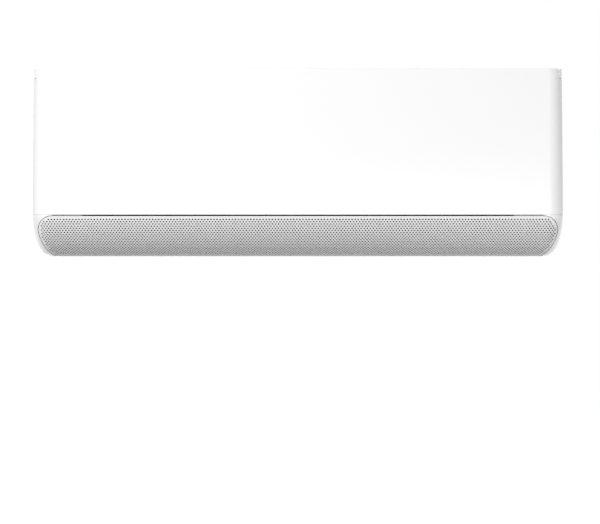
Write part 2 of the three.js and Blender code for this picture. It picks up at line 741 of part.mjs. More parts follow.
function airFlap() {
  const cover = skin(0, flap.wall).intersect(flapZone(0))
    .intersect(block(-far, far, flap.rearDepth, far, -far, far));
  const notches = flap.hinges.flatMap((x) => [-1, 1].map((side) => {
    const middle = x + side * (flap.lugWidth / 2 + runningGap + flap.sideLugWidth / 2);
    const half = flap.sideLugWidth / 2 + runningGap;
    return block(middle - half, middle + half, 0, flap.pivotDepth + flap.notchDepth, -far,
      flap.pivotHeight + flap.notchRise);
  }));
  const lugs = flap.hinges.map((x) => sidePrism([
    ...arc(flapPivot, flap.lugRadius, 0, 180, 8),
    [flap.pivotDepth - flap.lugRadius + 1, bottom + flap.wall / 2],
    [flap.pivotDepth + flap.lugRadius + flap.lugFoot, bottom + flap.wall / 2],
  ], x - flap.lugWidth / 2, x + flap.lugWidth / 2));
  const bores = flap.hinges.map((x) => barrel(...flapPivot, flap.pinRadius + gap,
    x - flap.boreHalf, x + flap.boreHalf));
  const arm = curvedRack().intersect(envelope(flap.wall / 2));
  return cut(join(cut(cover, ...notches), ...lugs, arm), ...bores);
}

function hingePin() {
  const half = flap.lugWidth / 2 + runningGap + flap.sideLugWidth;
  return barrel(0, 0, flap.pinRadius, -half, half);
}

function flapPinion() {
  const teeth = [];
  for (let i = 0; i < rack.pinionTeeth; i += 1) {
    const angle = rack.pinionAngle + 180 + i * 360 / rack.pinionTeeth;
    teeth.push(...tooth([0, 0], pinionRadius, rack.pinionTeeth, angle));
  }
  return sidePrism(teeth, 0, rack.width)
    .add(barrel(0, 0, rack.boreRadius, rack.width - 1, rack.width + rack.stubLength, 12));
}

function flapMotor() {
  const x0 = rack.x + rack.width + stepper.bracketGap + stepper.bracketThickness;
  const body = barrel(pinion.depth, pinion.height, stepper.radius, x0 + gap, x0 + stepper.length, 24);
  const ears = block(x0 + gap, x0 + gap + stepper.earThickness, pinion.depth - stepper.earReach,
    pinion.depth + stepper.earReach, pinion.height - stepper.earHeight, pinion.height + stepper.earHeight);
  const bore = barrel(pinion.depth, pinion.height, rack.boreRadius + gap, x0 - 1,
    x0 + rack.stubLength - 1, 12);
  return cut(join(body, ears), bore);
}

function flapMotorBracket() {
  const x0 = rack.x + rack.width + stepper.bracketGap;
  const x1 = x0 + stepper.bracketThickness;
  const front = pinion.depth + stepper.bracketReach;
  const crown = pinion.height + stepper.bracketRise;
  const face = block(x0, x1, pinion.depth - stepper.bracketReach, front,
    pinion.height - stepper.bracketDrop, crown);
  const wall = duct.endX + duct.endWall + gap;
  const rear = pinion.depth - stepper.footRear;
  const foot = block(wall, x1, rear, front, crown - stepper.footThickness, crown);
  const toe = block(wall, wall + stepper.bracketThickness, rear, front, crown - stepper.footThickness,
    pinion.height + stepper.toeRise);
  const hole = barrel(pinion.depth, pinion.height, rack.boreRadius + 2, x0 - 1, x1 + 1);
  return cut(join(face, foot, toe), hole);
}

// ---- Chassis, pan and wall plate ------------------------------------------------------------------

function baseChassis() {
  const rearFace = plate.thickness + gap;
  const side = halfWidth - casing.wall - gap;
  const backWall = block(-side, side, rearFace, rearFace + back.thickness, back.bottom, back.top);
  const inner = duct.endX + duct.endWall;
  const scroll = sidePrism(sheetOutline(duct.scroll, duct.endWall), -inner, inner);
  const trough = sidePrism(sheetOutline(gutter, duct.sheet), -inner, inner);
  const shelf = sidePrism(sheetOutline(web, duct.sheet), -inner, inner);
  const channel = sidePrism(sheetOutline([[cheek.rear[0], back.channelHeight],
    [back.channelDepth - back.channelCorner[0], back.channelHeight],
    [back.channelDepth, back.channelHeight - back.channelCorner[1]],
    [back.channelDepth, bottom + casing.wall + gap]], duct.sheet), -inner, inner);
  const clearance = belly.radius - outlet.inner - 2 * gap;
  const curve = arc([belly.centreDepth, bellyHeight], clearance, cheek.curveFrom, cheek.curveTo, 8);
  const profile = [[cheek.rear[0], back.bottom], [cheek.rear[0], rearFoot], [cheek.rear[1], rearFoot - 2],
    ...cheek.top.map(([d, rise]) => [d, fan.height + rise]),
    ...cheek.front.map(([d, rise]) => [d, pan.rim + rise]), cheek.slot, ...curve,
    ...cheek.foot.map(([d, rise]) => [d, bottom + rise]), [cheek.footDepth, back.bottom]];
  const ends = [sidePrism(profile, -inner, -duct.endX), sidePrism(profile, duct.endX, inner)];
  const housingRadius = fan.stubRadius + gap + bearing.wall + gap + bearing.rubber + gap;
  const housing = barrel(...fanCentre, housingRadius + bearing.housingWall,
    -inner - bearing.length, -inner + 1, 24);
  const housingBore = barrel(...fanCentre, housingRadius, -inner - bearing.length - 1,
    -duct.endX + 1, 24);
  const base = fan.height - motor.radius - motor.cradleBase;
  const saddle = (x0, x1) => sidePrism([
    [fan.depth - motor.cradleHalf, fan.height - gap],
    ...arc(fanCentre, rubberSeat, 180, 360, 14),
    [fan.depth + motor.cradleHalf, fan.height - gap],
    [fan.depth + motor.cradleHalf, fan.height - motor.cradleDrop],
    [fan.depth + motor.cradleFoot, base - motor.cradleGap],
    [fan.depth - motor.cradleFoot, base - motor.cradleGap],
    [fan.depth - motor.cradleHalf, fan.height - motor.cradleDrop],
  ], x0, x1);
  const cradle = join(
    saddle(duct.endX + 1, motor.start - 1), saddle(motorEnd + 1, motorEnd + motor.hubLength),
    block(duct.endX + 1, motorEnd + motor.hubLength, fan.depth - motor.cradleFoot,
      fan.depth + motor.cradleFoot, base - motor.cradleGap, base + 1));
  const shaftHole = barrel(...fanCentre, motor.shaftRadius + motor.shaftRoom, duct.endX - 1,
    inner + 2, 20);
  const rubberRoom = barrel(...fanCentre, rubberSeat, inner, motor.start, 20);
  const [seatRear, seatFront, seatLow, seatHigh] = box.seat;
  const boxSeat = block(inner - 1, box.left - gap, seatRear, seatFront, box.bottom + seatLow,
    box.bottom + seatHigh);
  const bosses = screw.xs.map((x) => post(x, screw.depth, screw.boss, bottom + screw.bossFrom,
    bottom + screw.bossTo));
  const bores = screw.xs.map((x) => post(x, screw.depth, screw.radius + gap, bottom,
    bottom + screw.boreTo, 12));
  const hookSlots = [-hookX, hookX].map((x) => block(x - plate.hookWidth / 2 - 2,
    x + plate.hookWidth / 2 + 2, 0, plate.hookDepth + 2, plate.top - 8, plate.top + 12));
  const spoutHole = barrel(pan.spoutDepth, pan.troughFloor + pan.spoutRise, pan.spoutRadius + gap,
    -inner - 1, -duct.endX + 1);
  return cut(join(backWall, scroll, trough, shelf, channel, ...ends, housing, cradle, boxSeat, ...bosses),
    housingBore, shaftHole, rubberRoom, spoutHole, ...bores, ...hookSlots);
}

function mountingPlate() {
  const sheet = block(-plate.width / 2, plate.width / 2, 0, plate.thickness, plate.bottom, plate.top);
  const windows = [-2, -1, 1, 2].map((place) => {
    const x = place * plate.width * plate.windowShare;
    return block(x - plate.windowHalf, x + plate.windowHalf, -1, plate.thickness + 1,
      plate.bottom + plate.windowBottom, plate.top - plate.windowTop);
  });
  const outerHole = plate.width / 2 - plate.holeInset;
  const holes = [-outerHole, -plate.holeX, plate.holeX, outerHole]
    .flatMap((x) => [plate.bottom + plate.holeMargin, plate.top - plate.holeMargin]
      .map((z) => stud(x, z, plate.holeRadius, -1, plate.thickness + 1, 8)));
  const hooks = [-hookX, hookX].flatMap((x) => [
    block(x - plate.hookWidth / 2, x + plate.hookWidth / 2, 0, plate.hookDepth,
      plate.top - plate.thickness, plate.top),
    block(x - plate.hookWidth / 2, x + plate.hookWidth / 2, plate.hookDepth - plate.thickness,
      plate.hookDepth, plate.top - plate.thickness, plate.top + plate.hookRise)]);
  return join(cut(sheet, ...windows, ...holes), ...hooks);
}

function drainPan() {
  const half = duct.endX - gap;
  const lean = duct.sheet / 2;
  const lift = [lean * Math.sin(ductTilt), lean * Math.cos(ductTilt)];
  const raised = ([d, z]) => [d + lift[0], z + lift[1]];
  const wall = sheetOutline([raised(duct.tongue), raised(duct.wallEnd)], duct.sheet);
  const trough = sheetOutline([[pan.troughRear, pan.rim], [pan.troughRear, pan.troughFloor],
    [pan.troughFront, pan.troughFloor], [pan.troughFront + pan.lean, pan.rim]], duct.sheet);
  const rear = sheetOutline([raised(duct.tongue), [pan.troughRear, pan.troughFloor]], duct.sheet);
  const front = sheetOutline([raised(duct.wallEnd), [pan.troughFront + 2, pan.troughFloor + 2]],
    duct.sheet);
  const body = join(...[wall, trough, rear, front].map((outline) => sidePrism(outline, -half, half)));
  const spout = barrel(pan.spoutDepth, pan.troughFloor + pan.spoutRise, pan.spoutRadius,
    -half - pan.spoutLength, -half + 4, 14);
  const endPlates = pairOfBlocks(half - pan.endWall, half, pan.troughRear, pan.troughFront,
    pan.troughFloor, pan.rim);
  const spoutBore = barrel(pan.spoutDepth, pan.troughFloor + pan.spoutRise, pan.spoutBore,
    -half - pan.spoutLength - 2, -half + 6, 14);
  return cut(join(body, spout, ...endPlates), spoutBore, ...vanePlaces().map(({ x }) => placed(
    turned(vane.pivotRadius + gap, -2, duct.sheet + 2), x)));
}

// A cylinder along the vanes' own pivot line, before it is placed.
function turned(radius, z0, z1, y = 0, sides = 12) {
  return post(0, -y, radius, z0, z1, sides);
}

// Sets a solid made in the vanes' frame against the duct's upper wall.
function placed(solid, x) {
  const matrix = new THREE.Matrix4().makeRotationX(ductTilt);
  matrix.setPosition(x, -vaneSeat[0], vaneSeat[1]);
  return solid.transform(matrix.elements);
}

// ---- Vanes ----------------------------------------------------------------------------------------

function vanePlaces() {
  const places = [];
  ['left', 'right'].forEach((bank, side) => {
    for (let i = 0; i < vane.perBank; i += 1) {
      const x = (vane.firstX + i * vane.spacing) * (side ? 1 : -1);
      places.push({ name: `vane_${bank}_${i + 1}`, x, bank });
    }
  });
  return places;
}

function vaneBlade() {
  const blade = sidePrism([
    [-vane.halfChord, -vane.top], [vane.halfChord - vane.tipCut, -vane.top],
    [vane.halfChord, -vane.top - vane.tipCut], [vane.halfChord - vane.tipLean, -vane.bottom],
    [-vane.halfChord + vane.tailLean, -vane.bottom],
  ], -vane.thickness / 2, vane.thickness / 2);
  const pivot = turned(vane.pivotRadius, -vane.top - 4, duct.sheet + vane.pivotReach, 0, 8);
  const linkPin = turned(vane.linkPinRadius, -vane.bottom - vane.linkPinLength, -vane.bottom + 3,
    vane.linkOffset, 6);
  return join(blade, pivot, linkPin);
}

function vaneLink(xs) {
  const z1 = -vane.bottom - gap;
  const z0 = z1 - vane.linkThickness;
  const bar = block(Math.min(...xs) - vane.linkEnd, Math.max(...xs) + vane.linkEnd, -vane.linkOffset - vane.linkWidth / 2,
    -vane.linkOffset + vane.linkWidth / 2, z0, z1);
  const holes = xs.map((x) => post(x, -vane.linkOffset, vane.linkPinRadius + runningGap, z0 - 1, z1 + 1, 8));
  return cut(bar, ...holes);
}

function swingMotorBody() {
  const z0 = duct.sheet + gap;
  return cut(turned(swingMotor.radius, z0, z0 + swingMotor.length, 0, 20),
    turned(vane.pivotRadius + gap, z0 - 1, duct.sheet + swingMotor.boreLength));
}

// ---- Fan ------------------------------------------------------------------------------------------

function fanWheel() {
  const pitch = (2 * fan.halfLength - fan.discThickness) / (fan.discs - 1);
  const starts = Array.from({ length: fan.discs }, (_, i) => -fan.halfLength + i * pitch);
  const outerRing = arc(fanCentre, fan.radius, 0, 360 * (1 - 1 / 30), 29);
  const discs = starts.map((x, i) => {
    const disc = sidePrism(outerRing, x, x + fan.discThickness);
    const inner = i > 0 && i < fan.discs - 1;
    return inner ? cut(disc, barrel(...fanCentre, fan.radius - fan.bladeDepth - 2, x - 1,
      x + fan.discThickness + 1, 20)) : disc;
  });
  const blades = Array.from({ length: fan.blades }, (_, i) => {
    const angle = i * 360 / fan.blades;
    const rim = polar(fanCentre, fan.radius - 1, angle);
    const root = polar(fanCentre, fan.radius - fan.bladeDepth, angle - fan.bladeLean / 3);
    return sidePrism(sheetOutline([rim, root], fan.bladeThickness),
      -fan.halfLength + 1, fan.halfLength - 1);
  });
  const stub = barrel(...fanCentre, fan.stubRadius, -duct.endX - duct.endWall - bearing.length,
    -fan.halfLength + 1);
  const boss = barrel(...fanCentre, fan.bossRadius, fan.halfLength - 8, fan.halfLength + fan.bossLength, 20);
  const bore = barrel(...fanCentre, motor.shaftRadius + gap, fan.halfLength - motor.shaftInFan,
    fan.halfLength + fan.bossLength + 1);
  return cut(join(...discs, ...blades, stub, boss), bore);
}

function ringAt(inner, outer, x0, x1) {
  return cut(barrel(...fanCentre, outer, x0, x1, 24), barrel(...fanCentre, inner, x0 - 1, x1 + 1, 16));
}

function motorBody() {
  const body = barrel(...fanCentre, motor.radius, motor.start, motorEnd, 32);
  const hubs = barrel(...fanCentre, motor.hubRadius, motor.start - motor.hubLength,
    motorEnd + motor.hubLength, 20);
  const bore = barrel(...fanCentre, motor.shaftRadius + gap,
    motor.start - motor.hubLength - 1, motor.start + motor.shaftInMotor);
  return cut(join(body, hubs), bore);
}

function motorClamp() {
  const crown = fan.height + motor.radius + motor.clampThickness;
  const bandTop = crown + motor.clampThickness;
  const arch = (x0, x1) => sidePrism([
    ...arc(fanCentre, rubberSeat, 0, 180, 14),
    [fan.depth - motor.cradleHalf, fan.height],
    [fan.depth - motor.cradleHalf, fan.height + motor.clampRise],
    [fan.depth - motor.clampHalf, bandTop], [fan.depth + motor.clampHalf, bandTop],
    [fan.depth + motor.cradleHalf, fan.height + motor.clampRise],
    [fan.depth + motor.cradleHalf, fan.height],
  ], x0, x1);
  const first = duct.endX + duct.endWall + gap;
  const last = motorEnd + motor.hubLength;
  return join(arch(first, motor.start - 1), arch(motorEnd + 1, last),
    block(first, last, fan.depth - motor.clampHalf, fan.depth + motor.clampHalf, crown, bandTop));
}

// ---- Heat exchanger -------------------------------------------------------------------------------

function slabOutline([from, to], thickness, grow = 0) {
  const run = new THREE.Vector2(to[0] - from[0], to[1] - from[1]).normalize();
  const start = [from[0] - run.x * grow, from[1] - run.y * grow];
  const end = [to[0] + run.x * grow, to[1] + run.y * grow];
  return sheetOutline([start, end], thickness + 2 * grow);
}

function returnBend([from, to], share, x, side) {
  const run = new THREE.Vector2(to[0] - from[0], to[1] - from[1]);
  const along = run.clone().normalize();
  const middle = [from[0] + run.x * share, from[1] + run.y * share];
  const points = [[-1, -1], ...arc([0, 0], 1, -90, 90, 4), [-1, 1]].map(([out, up]) => {
    const reach = out === -1 ? -coil.bendRoot : out * coil.bendRadius;
    return [x + side * reach, middle[0] + along.x * up * coil.bendRadius,
      middle[1] + along.y * up * coil.bendRadius];
  });
  return solidOf(tube(points, coil.tubeRadius, 5, 6));
}

function coilPlate(side) {
  const x = side > 0 ? coil.right + gap : coil.left - gap - coil.plate;
  const outlines = Object.values(coil.slabs).map((line) => slabOutline(line, coil.thickness, coil.grow));
  const sheets = outlines.map((outline) => sidePrism(outline, x, x + coil.plate));
  const bridge = block(x, x + coil.plate, ...coil.bridge);
  const foot = block(x, x + coil.plate, ...coil.foot, pan.troughFloor + duct.sheet / 2 + gap,
    pan.troughFloor + coil.footRise);
  const outer = side > 0 ? x + coil.plate : x;
  const bends = Object.values(coil.slabs).flatMap((line) => coil.bendPlaces
    .map((share) => returnBend(line, share, outer, side)));
  return join(...sheets, bridge, foot, ...bends);
}

function pipe({ route, end, radius }) {
  const line = route.map(([x, d, z]) => [ductEnd + x, d, z]);
  const [, d, z] = line[line.length - 1];
  const start = [coil.right + gap + coil.plate + gap, line[0][1], line[0][2]];
  return solidOf(tube([start, ...line, [end, d, z]], radius, pipeSides, pipeSteps));
}

function flareNut({ route, end, radius }) {
  const [, d, z] = route[route.length - 1];
  const x1 = end + nut.length - nut.overlap;
  return cut(barrel(d, z, radius + nut.wall, end - nut.overlap, x1, 6),
    barrel(d, z, radius + gap, end - nut.overlap - 1, x1 + nut.overlap, 12));
}

// ---- Top inlet ------------------------------------------------------------------------------------

function topGrille() {
  const z1 = top - casing.wall - gap;
  const z0 = z1 - grille.thickness;
  const x1 = inlet.halfWidth + grille.side;
  const d0 = inlet.rear - grille.rear;
  const d1 = inlet.front + grille.front;
  const frame = cut(block(-x1, x1, d0, d1, z0, z1),
    block(-x1 + grille.side, x1 - grille.side, d0 + grille.edge, d1 - grille.edge, z0 - 1, z1 + 1));
  const step = (d1 - d0 - 2 * grille.edge) / (grille.lengthBars + 1);
  const along = Array.from({ length: grille.lengthBars }, (_, i) => {
    const d = d0 + grille.edge + (i + 1) * step;
    return block(-x1 + 1, x1 - 1, d - grille.bar / 2, d + grille.bar / 2, z0 + grille.barRise,
      z1 - grille.barDrop);
  });
  const stride = 2 * x1 / (grille.crossBars + 1);
  const across = Array.from({ length: grille.crossBars }, (_, i) => {
    const x = -x1 + (i + 1) * stride;
    return block(x - grille.bar / 2, x + grille.bar / 2, d0 + 1, d1 - 1, z0, z1);
  });
  return join(frame, ...along, ...across);
}

function airFilter(side) {
  const z0 = top - casing.wall;
  const near = filter.middle / 2;
  const reach = inlet.halfWidth - 1;
  const [x0, x1] = side > 0 ? [near, reach] : [-reach, -near];
  const d0 = inlet.rear + 1;
  const d1 = inlet.front - 1;
  const frame = cut(block(x0, x1, d0, d1, z0, z0 + filter.thickness),
    block(x0 + filter.frame, x1 - filter.frame, d0 + filter.frame, d1 - filter.frame, z0 - 1, far));
  const edge = filter.meshEdge;
  const mesh = block(x0 + edge, x1 - edge, d0 + edge, d1 - edge, z0 + filter.meshRise,
    z0 + filter.meshRise + filter.mesh);
  const stride = (x1 - x0) / (filter.bars + 1);
  const bars = Array.from({ length: filter.bars }, (_, i) => {
    const x = x0 + (i + 1) * stride;
    return block(x - filter.bar / 2, x + filter.bar / 2, d0 + 1, d1 - 1, z0,
      z0 + filter.thickness - filter.barDrop);
  });
  return join(frame, mesh, ...bars);
}

// ---- Electrics ------------------------------------------------------------------------------------

function electricBox() {
  const shell = cut(block(box.left, box.right, box.rear, box.front, box.bottom, box.top),
    block(box.left + box.wall, box.right - box.wall, box.rear + box.wall, far,
      box.bottom + box.wall, box.top - box.wall));
  const inset = board.postInset;
  const posts = [board.left + inset, board.right - inset].flatMap((x) => [board.bottom + inset + 1,
    board.top - inset - 1].map((z) => stud(x, z, board.postRadius, box.rear + 1, board.depth - gap, 10)));
  return join(shell, ...posts);
}

function boxCover() {
  const face = block(box.left - box.lip, box.right + box.lip, box.front + gap,
    box.front + gap + box.wall, box.bottom - box.lip, box.top + box.lip);
  const vents = Array.from({ length: box.vents }, (_, i) => {
    const z = box.top - box.ventDrop + i * box.ventPitch;
    return block(box.left + box.ventMargin, box.right - box.ventMargin, box.front, far, z,
      z + box.ventHeight);
  });
  return cut(face, ...vents);
}

function mainBoard() {
  const sheet = block(board.left, board.right, board.depth, board.depth + board.thickness,
    board.bottom, board.top);
  const cans = board.cans.map(([x, z, radius, height, sides]) => stud(board.left + x, board.bottom + z,
    radius, board.depth + 1, board.depth + height, sides));
  const chips = board.chips.map(([x0, x1, low, high, height]) => block(board.left + x0, board.left + x1,
    board.depth + 1, board.depth + height, board.top - low, board.top - high));
  return join(sheet, ...cans, ...chips);
}

function terminalBlock() {
  const d0 = box.rear + box.wall + gap;
  const x0 = box.left + terminals.margin;
  const x1 = box.right - terminals.margin;
  const z0 = box.top - terminals.bottom;
  const z1 = box.top - terminals.top;
  const base = block(x0, x1, d0, d0 + terminals.depth, z0, z1);
  const pitch = (x1 - x0 - terminals.wall) / (terminals.count - 1);
  const walls = Array.from({ length: terminals.count }, (_, i) => block(x0 + i * pitch,
    x0 + i * pitch + terminals.wall, d0 + terminals.depth - 1, d0 + terminals.wallDepth, z0, z1));
  return join(base, ...walls);
}

const barDepth = frontDepth(display.top) - casing.innerSkin - casing.innerWall;
const displayDepth = barDepth - display.standoff;

function displayBoard() {
  const sheet = block(display.left, display.right, displayDepth - board.thickness, displayDepth,
    display.bottom, display.top);
  const lamps = Array.from({ length: display.lamps }, (_, i) => {
    const x = display.left + display.lampStart + i * display.lampPitch;
    return block(x, x + display.lamp, displayDepth - 1, displayDepth + display.lampHeight,
      display.bottom + display.lampRise, display.bottom + display.lampRise + display.lamp);
  });
  const reach = display.toggleHalf;
  const toggle = block(button.x - reach, button.x + reach, displayDepth - 1,
    displayDepth + display.toggle, button.z - reach, button.z + reach);
  const posts = [display.left + display.postInset[0], display.right - display.postInset[1]]
    .map((x) => stud(x, display.top - display.postDrop, display.postRadius, displayDepth - 1,
      barDepth - gap, 8));
  return join(sheet, ...lamps, toggle, ...posts);
}

const buttonRear = displayDepth + display.toggle + button.travel + gap;

function emergencyButton() {
  const front = frontDepth(button.z) - casing.innerSkin + gap;
  return stud(0, 0, button.radius, 0, front - buttonRear);
}

function casingScrew() {
  return join(post(0, 0, screw.headRadius, 0, screw.head, 12),
    post(0, 0, screw.radius, 0.5, screw.length, 10));
}

function drainPlug() {
  return join(barrel(0, 0, pan.spoutBore - gap, 0, plug.length, 12),
    barrel(0, 0, plug.headRadius, -plug.headLength, gap - 0.1, 14));
}

// ---- Assembly -------------------------------------------------------------------------------------

const unitGroup = new THREE.Group();

function add(name, solid, material, x = 0, d = 0, z = 0, parent = unitGroup) {
  const mesh = new THREE.Mesh(geometryOf(solid), material);
  mesh.name = name;
  mesh.position.set(x, -d, z);
  parent.add(mesh);
  return mesh;
}

add('mounting_plate', mountingPlate(), zinc);
add('base_chassis', baseChassis(), greyPlastic);
add('outer_casing', outerCasing(), casingWhite);
add('front_panel', frontPanel(), panelWhite);
add('outlet_frame', outletFrame(), innerWhite);
add('top_grille', topGrille(), casingWhite);
add('filter_left', airFilter(-1), filterGrey);
add('filter_right', airFilter(1), filterGrey);

add('air_flap', airFlap(), flapWhite);
flap.hinges.forEach((x, i) => {
  add(`flap_hinge_pin_${i + 1}`, hingePin(), steel, x, flap.pivotDepth, flap.pivotHeight);
});
add('flap_pinion', flapPinion(), greyPlastic, rack.x, pinion.depth, pinion.height);
add('flap_motor', flapMotor(), zinc);
add('flap_motor_bracket', flapMotorBracket(), innerWhite);

add('fan_wheel', fanWheel(), darkPlastic);
add('fan_motor_shaft', barrel(...fanCentre, motor.shaftRadius,
  fan.halfLength - motor.shaftInFan + gap, motor.start + motor.shaftInMotor - gap), steel);
const bearingEnd = -duct.endX - 1;
const bushOuter = fan.stubRadius + gap + bearing.wall;
add('fan_bearing', ringAt(fan.stubRadius + gap, bushOuter, bearingEnd - bearing.length, bearingEnd), steel);
add('bearing_rubber', ringAt(bushOuter + gap, bushOuter + gap + bearing.rubber,
  bearingEnd - bearing.length, bearingEnd), rubber);
add('fan_motor', motorBody(), zinc);
add('motor_rubber_inner', ringAt(rubberInner, rubberInner + motor.rubber,
  motor.start - motor.hubLength + 1, motor.start - gap), rubber);
add('motor_rubber_outer', ringAt(rubberInner, rubberInner + motor.rubber,
  motorEnd + gap, motorEnd + motor.hubLength - 1), rubber);
add('motor_clamp', motorClamp(), greyPlastic);

Object.entries(coil.slabs).forEach(([name, line]) => {
  add(name, sidePrism(slabOutline(line, coil.thickness), coil.left, coil.right), aluminium);
});
add('coil_plate_left', coilPlate(-1), zinc);
add('coil_plate_right', coilPlate(1), zinc);
add('gas_pipe', pipe(gasPipe), copper);
add('liquid_pipe', pipe(liquidPipe), copper);
add('gas_flare_nut', flareNut(gasPipe), brass);
add('liquid_flare_nut', flareNut(liquidPipe), brass);

add('drain_pan', drainPan(), foam);
add('drain_plug', drainPlug(), rubber, -duct.endX - pan.spoutLength - 0.2,
  pan.spoutDepth, pan.troughFloor + pan.spoutRise);

vanePlaces().forEach(({ name, x }) => {
  const mesh = add(name, vaneBlade(), darkPlastic, x, vaneSeat[0], vaneSeat[1]);
  mesh.rotation.x = ductTilt;
});
['left', 'right'].forEach((bank) => {
  const xs = vanePlaces().filter((place) => place.bank === bank).map((place) => place.x);
  const link = add(`vane_link_${bank}`, vaneLink(xs), darkPlastic, 0, vaneSeat[0], vaneSeat[1]);
  link.rotation.x = ductTilt;
  const middle = xs[Math.floor(xs.length / 2)];
  const body = add(`swing_motor_${bank}`, swingMotorBody(), zinc, middle, vaneSeat[0], vaneSeat[1]);
  body.rotation.x = ductTilt;
});

add('electric_box', electricBox(), greyPlastic);
add('electric_box_cover', boxCover(), zinc);
add('main_board', mainBoard(), circuitGreen);
add('terminal_block', terminalBlock(), darkPlastic);
add('display_board', displayBoard(), circuitGreen);
add('emergency_button', emergencyButton(), innerWhite, button.x, buttonRear, button.z);
screw.xs.forEach((x, i) => {
  add(`casing_screw_${i + 1}`, casingScrew(), zinc, x, screw.depth, bottom + gap);
});

export default unitGroup;
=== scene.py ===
import json
import math
import bpy
import bmesh
from mathutils import Matrix, Vector


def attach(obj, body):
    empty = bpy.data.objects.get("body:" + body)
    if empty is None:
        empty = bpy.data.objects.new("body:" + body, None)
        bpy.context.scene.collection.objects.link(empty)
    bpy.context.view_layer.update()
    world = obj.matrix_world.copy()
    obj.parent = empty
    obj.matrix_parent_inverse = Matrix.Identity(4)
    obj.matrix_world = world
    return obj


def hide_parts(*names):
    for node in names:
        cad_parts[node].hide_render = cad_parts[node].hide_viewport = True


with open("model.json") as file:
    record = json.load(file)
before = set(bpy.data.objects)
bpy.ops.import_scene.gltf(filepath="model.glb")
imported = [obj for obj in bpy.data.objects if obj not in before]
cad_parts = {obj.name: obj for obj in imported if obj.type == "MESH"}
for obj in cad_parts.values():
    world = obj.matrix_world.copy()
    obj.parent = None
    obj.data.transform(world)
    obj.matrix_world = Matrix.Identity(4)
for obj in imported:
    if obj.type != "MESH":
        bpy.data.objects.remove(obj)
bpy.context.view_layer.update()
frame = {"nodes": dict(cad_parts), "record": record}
print("frame loaded:", len(frame["nodes"]), "nodes")

# everything is in metres; d is the depth in front of the wall, so y = -d
form = {
    "width": 0.835, "height": 0.295, "topDepth": 0.192, "rearDepth": 0.002, "bulge": 0.002,
    "endRadius": 0.027, "cornerRadius": 0.024,
    "bellyDepth": 0.11795, "bellyRadius": 0.095, "startTilt": 20,
    "frontSteps": 10, "bellySteps": 26, "cornerSteps": 16,
    "rodSides": 32, "pinSides": 24, "sharpAngle": 32,
}
top = form["height"] / 2
bottom = -top
bellyHeight = bottom + form["bellyRadius"]
slotHeight = bellyHeight - form["bellyRadius"] * math.sin(math.radians(form["startTilt"]))
slotDepth = form["bellyDepth"] + form["bellyRadius"] * math.cos(math.radians(form["startTilt"]))
far = 0.6  # well outside the object on every side
gap = 0.0003  # clearance round pins and plates


def drawnIn(x, half, radius):
    # how far a rounded end has drawn back at x
    past = max(abs(x) - (half - radius), 0)
    return radius - math.sqrt(max(radius * radius - past * past, 0))


def frontDepth(z):
    share = (top - z) / (top - slotHeight)
    plain = form["topDepth"] + (slotDepth - form["topDepth"]) * share
    return plain + 4 * form["bulge"] * share * (1 - share)


def sideProfile(inset, frontInset, lift, rear):
    # seen from the end: the slightly bulged front, then the round belly down to the floor
    radius = form["bellyRadius"] - inset
    tilt = form["startTilt"]
    steps = form["bellySteps"]
    turns = [math.radians(tilt + (90 - tilt) * i / steps) for i in range(steps + 1)]
    curve = [(form["bellyDepth"] + radius * math.cos(a), bellyHeight - radius * math.sin(a)) for a in turns]
    start, floor = curve[0][1], bottom + inset
    squeeze = (start - floor - lift) / (start - floor)
    lower = [(d - frontInset, start + (z - start) * squeeze) for d, z in curve]
    upper = []
    for i in range(form["frontSteps"]):
        z = top - inset + (start - top + inset) * i / form["frontSteps"]
        upper.append((frontDepth(z) - inset - frontInset, z))
    return [(rear, top - inset), *upper, *lower, (rear, floor + lift)]


def meshFrom(name, bm):
    mesh = bpy.data.meshes.new(name)
    bm.to_mesh(mesh)
    bm.free()
    return mesh


def newPiece(name, bm):
    piece = bpy.data.objects.new(name, meshFrom(name, bm))
    bpy.context.scene.collection.objects.link(piece)
    return piece


def outerForm(inset, rear):
    # the whole outer shape as a solid, one side profile drawn out along X
    half = form["width"] / 2 - inset
    corner = form["cornerRadius"] - inset
    turns = [math.radians(90 * i / form["cornerSteps"]) for i in range(form["cornerSteps"] + 1)]
    reach = [half - corner + corner * math.sin(a) for a in turns]
    stations = [-x for x in reversed(reach)] + reach
    bm = bmesh.new()
    cap = None
    for x in stations:
        frontInset = drawnIn(x, half, form["endRadius"] - inset)
        ring = sideProfile(inset, frontInset, drawnIn(x, half, corner), rear)
        if cap is None:
            cap = bm.faces.new([bm.verts.new((x, -d, z)) for d, z in ring])
            continue
        made = bmesh.ops.extrude_face_region(bm, geom=[cap])["geom"]
        if x > stations[1]:
            bmesh.ops.delete(bm, geom=[cap], context="FACES_ONLY")
        cap = [g for g in made if isinstance(g, bmesh.types.BMFace)][0]
        for vert, (d, z) in zip(cap.verts, ring):
            vert.co = (x, -d, z)
    bmesh.ops.recalc_face_normals(bm, faces=bm.faces)
    return newPiece("form", bm)


def block(x0, x1, d0, d1, z0, z1):
    bm = bmesh.new()
    bmesh.ops.create_cube(bm, size=1)
    bmesh.ops.scale(bm, vec=(x1 - x0, d1 - d0, z1 - z0), verts=bm.verts)
    bmesh.ops.translate(bm, vec=((x0 + x1) / 2, -(d0 + d1) / 2, (z0 + z1) / 2), verts=bm.verts)
    return newPiece("block", bm)


def centredBlock(half, d0, d1, z0, z1):
    return block(-half, half, d0, d1, z0, z1)


def prism(points, travel):
    # a closed outline of 3-D points drawn along a vector
    bm = bmesh.new()
    face = bm.faces.new([bm.verts.new(p) for p in points])
    made = bmesh.ops.extrude_face_region(bm, geom=[face])["geom"]
    moved = [g for g in made if isinstance(g, bmesh.types.BMVert)]
    bmesh.ops.translate(bm, vec=travel, verts=moved)
    bmesh.ops.recalc_face_normals(bm, faces=bm.faces)
    return newPiece("prism", bm)


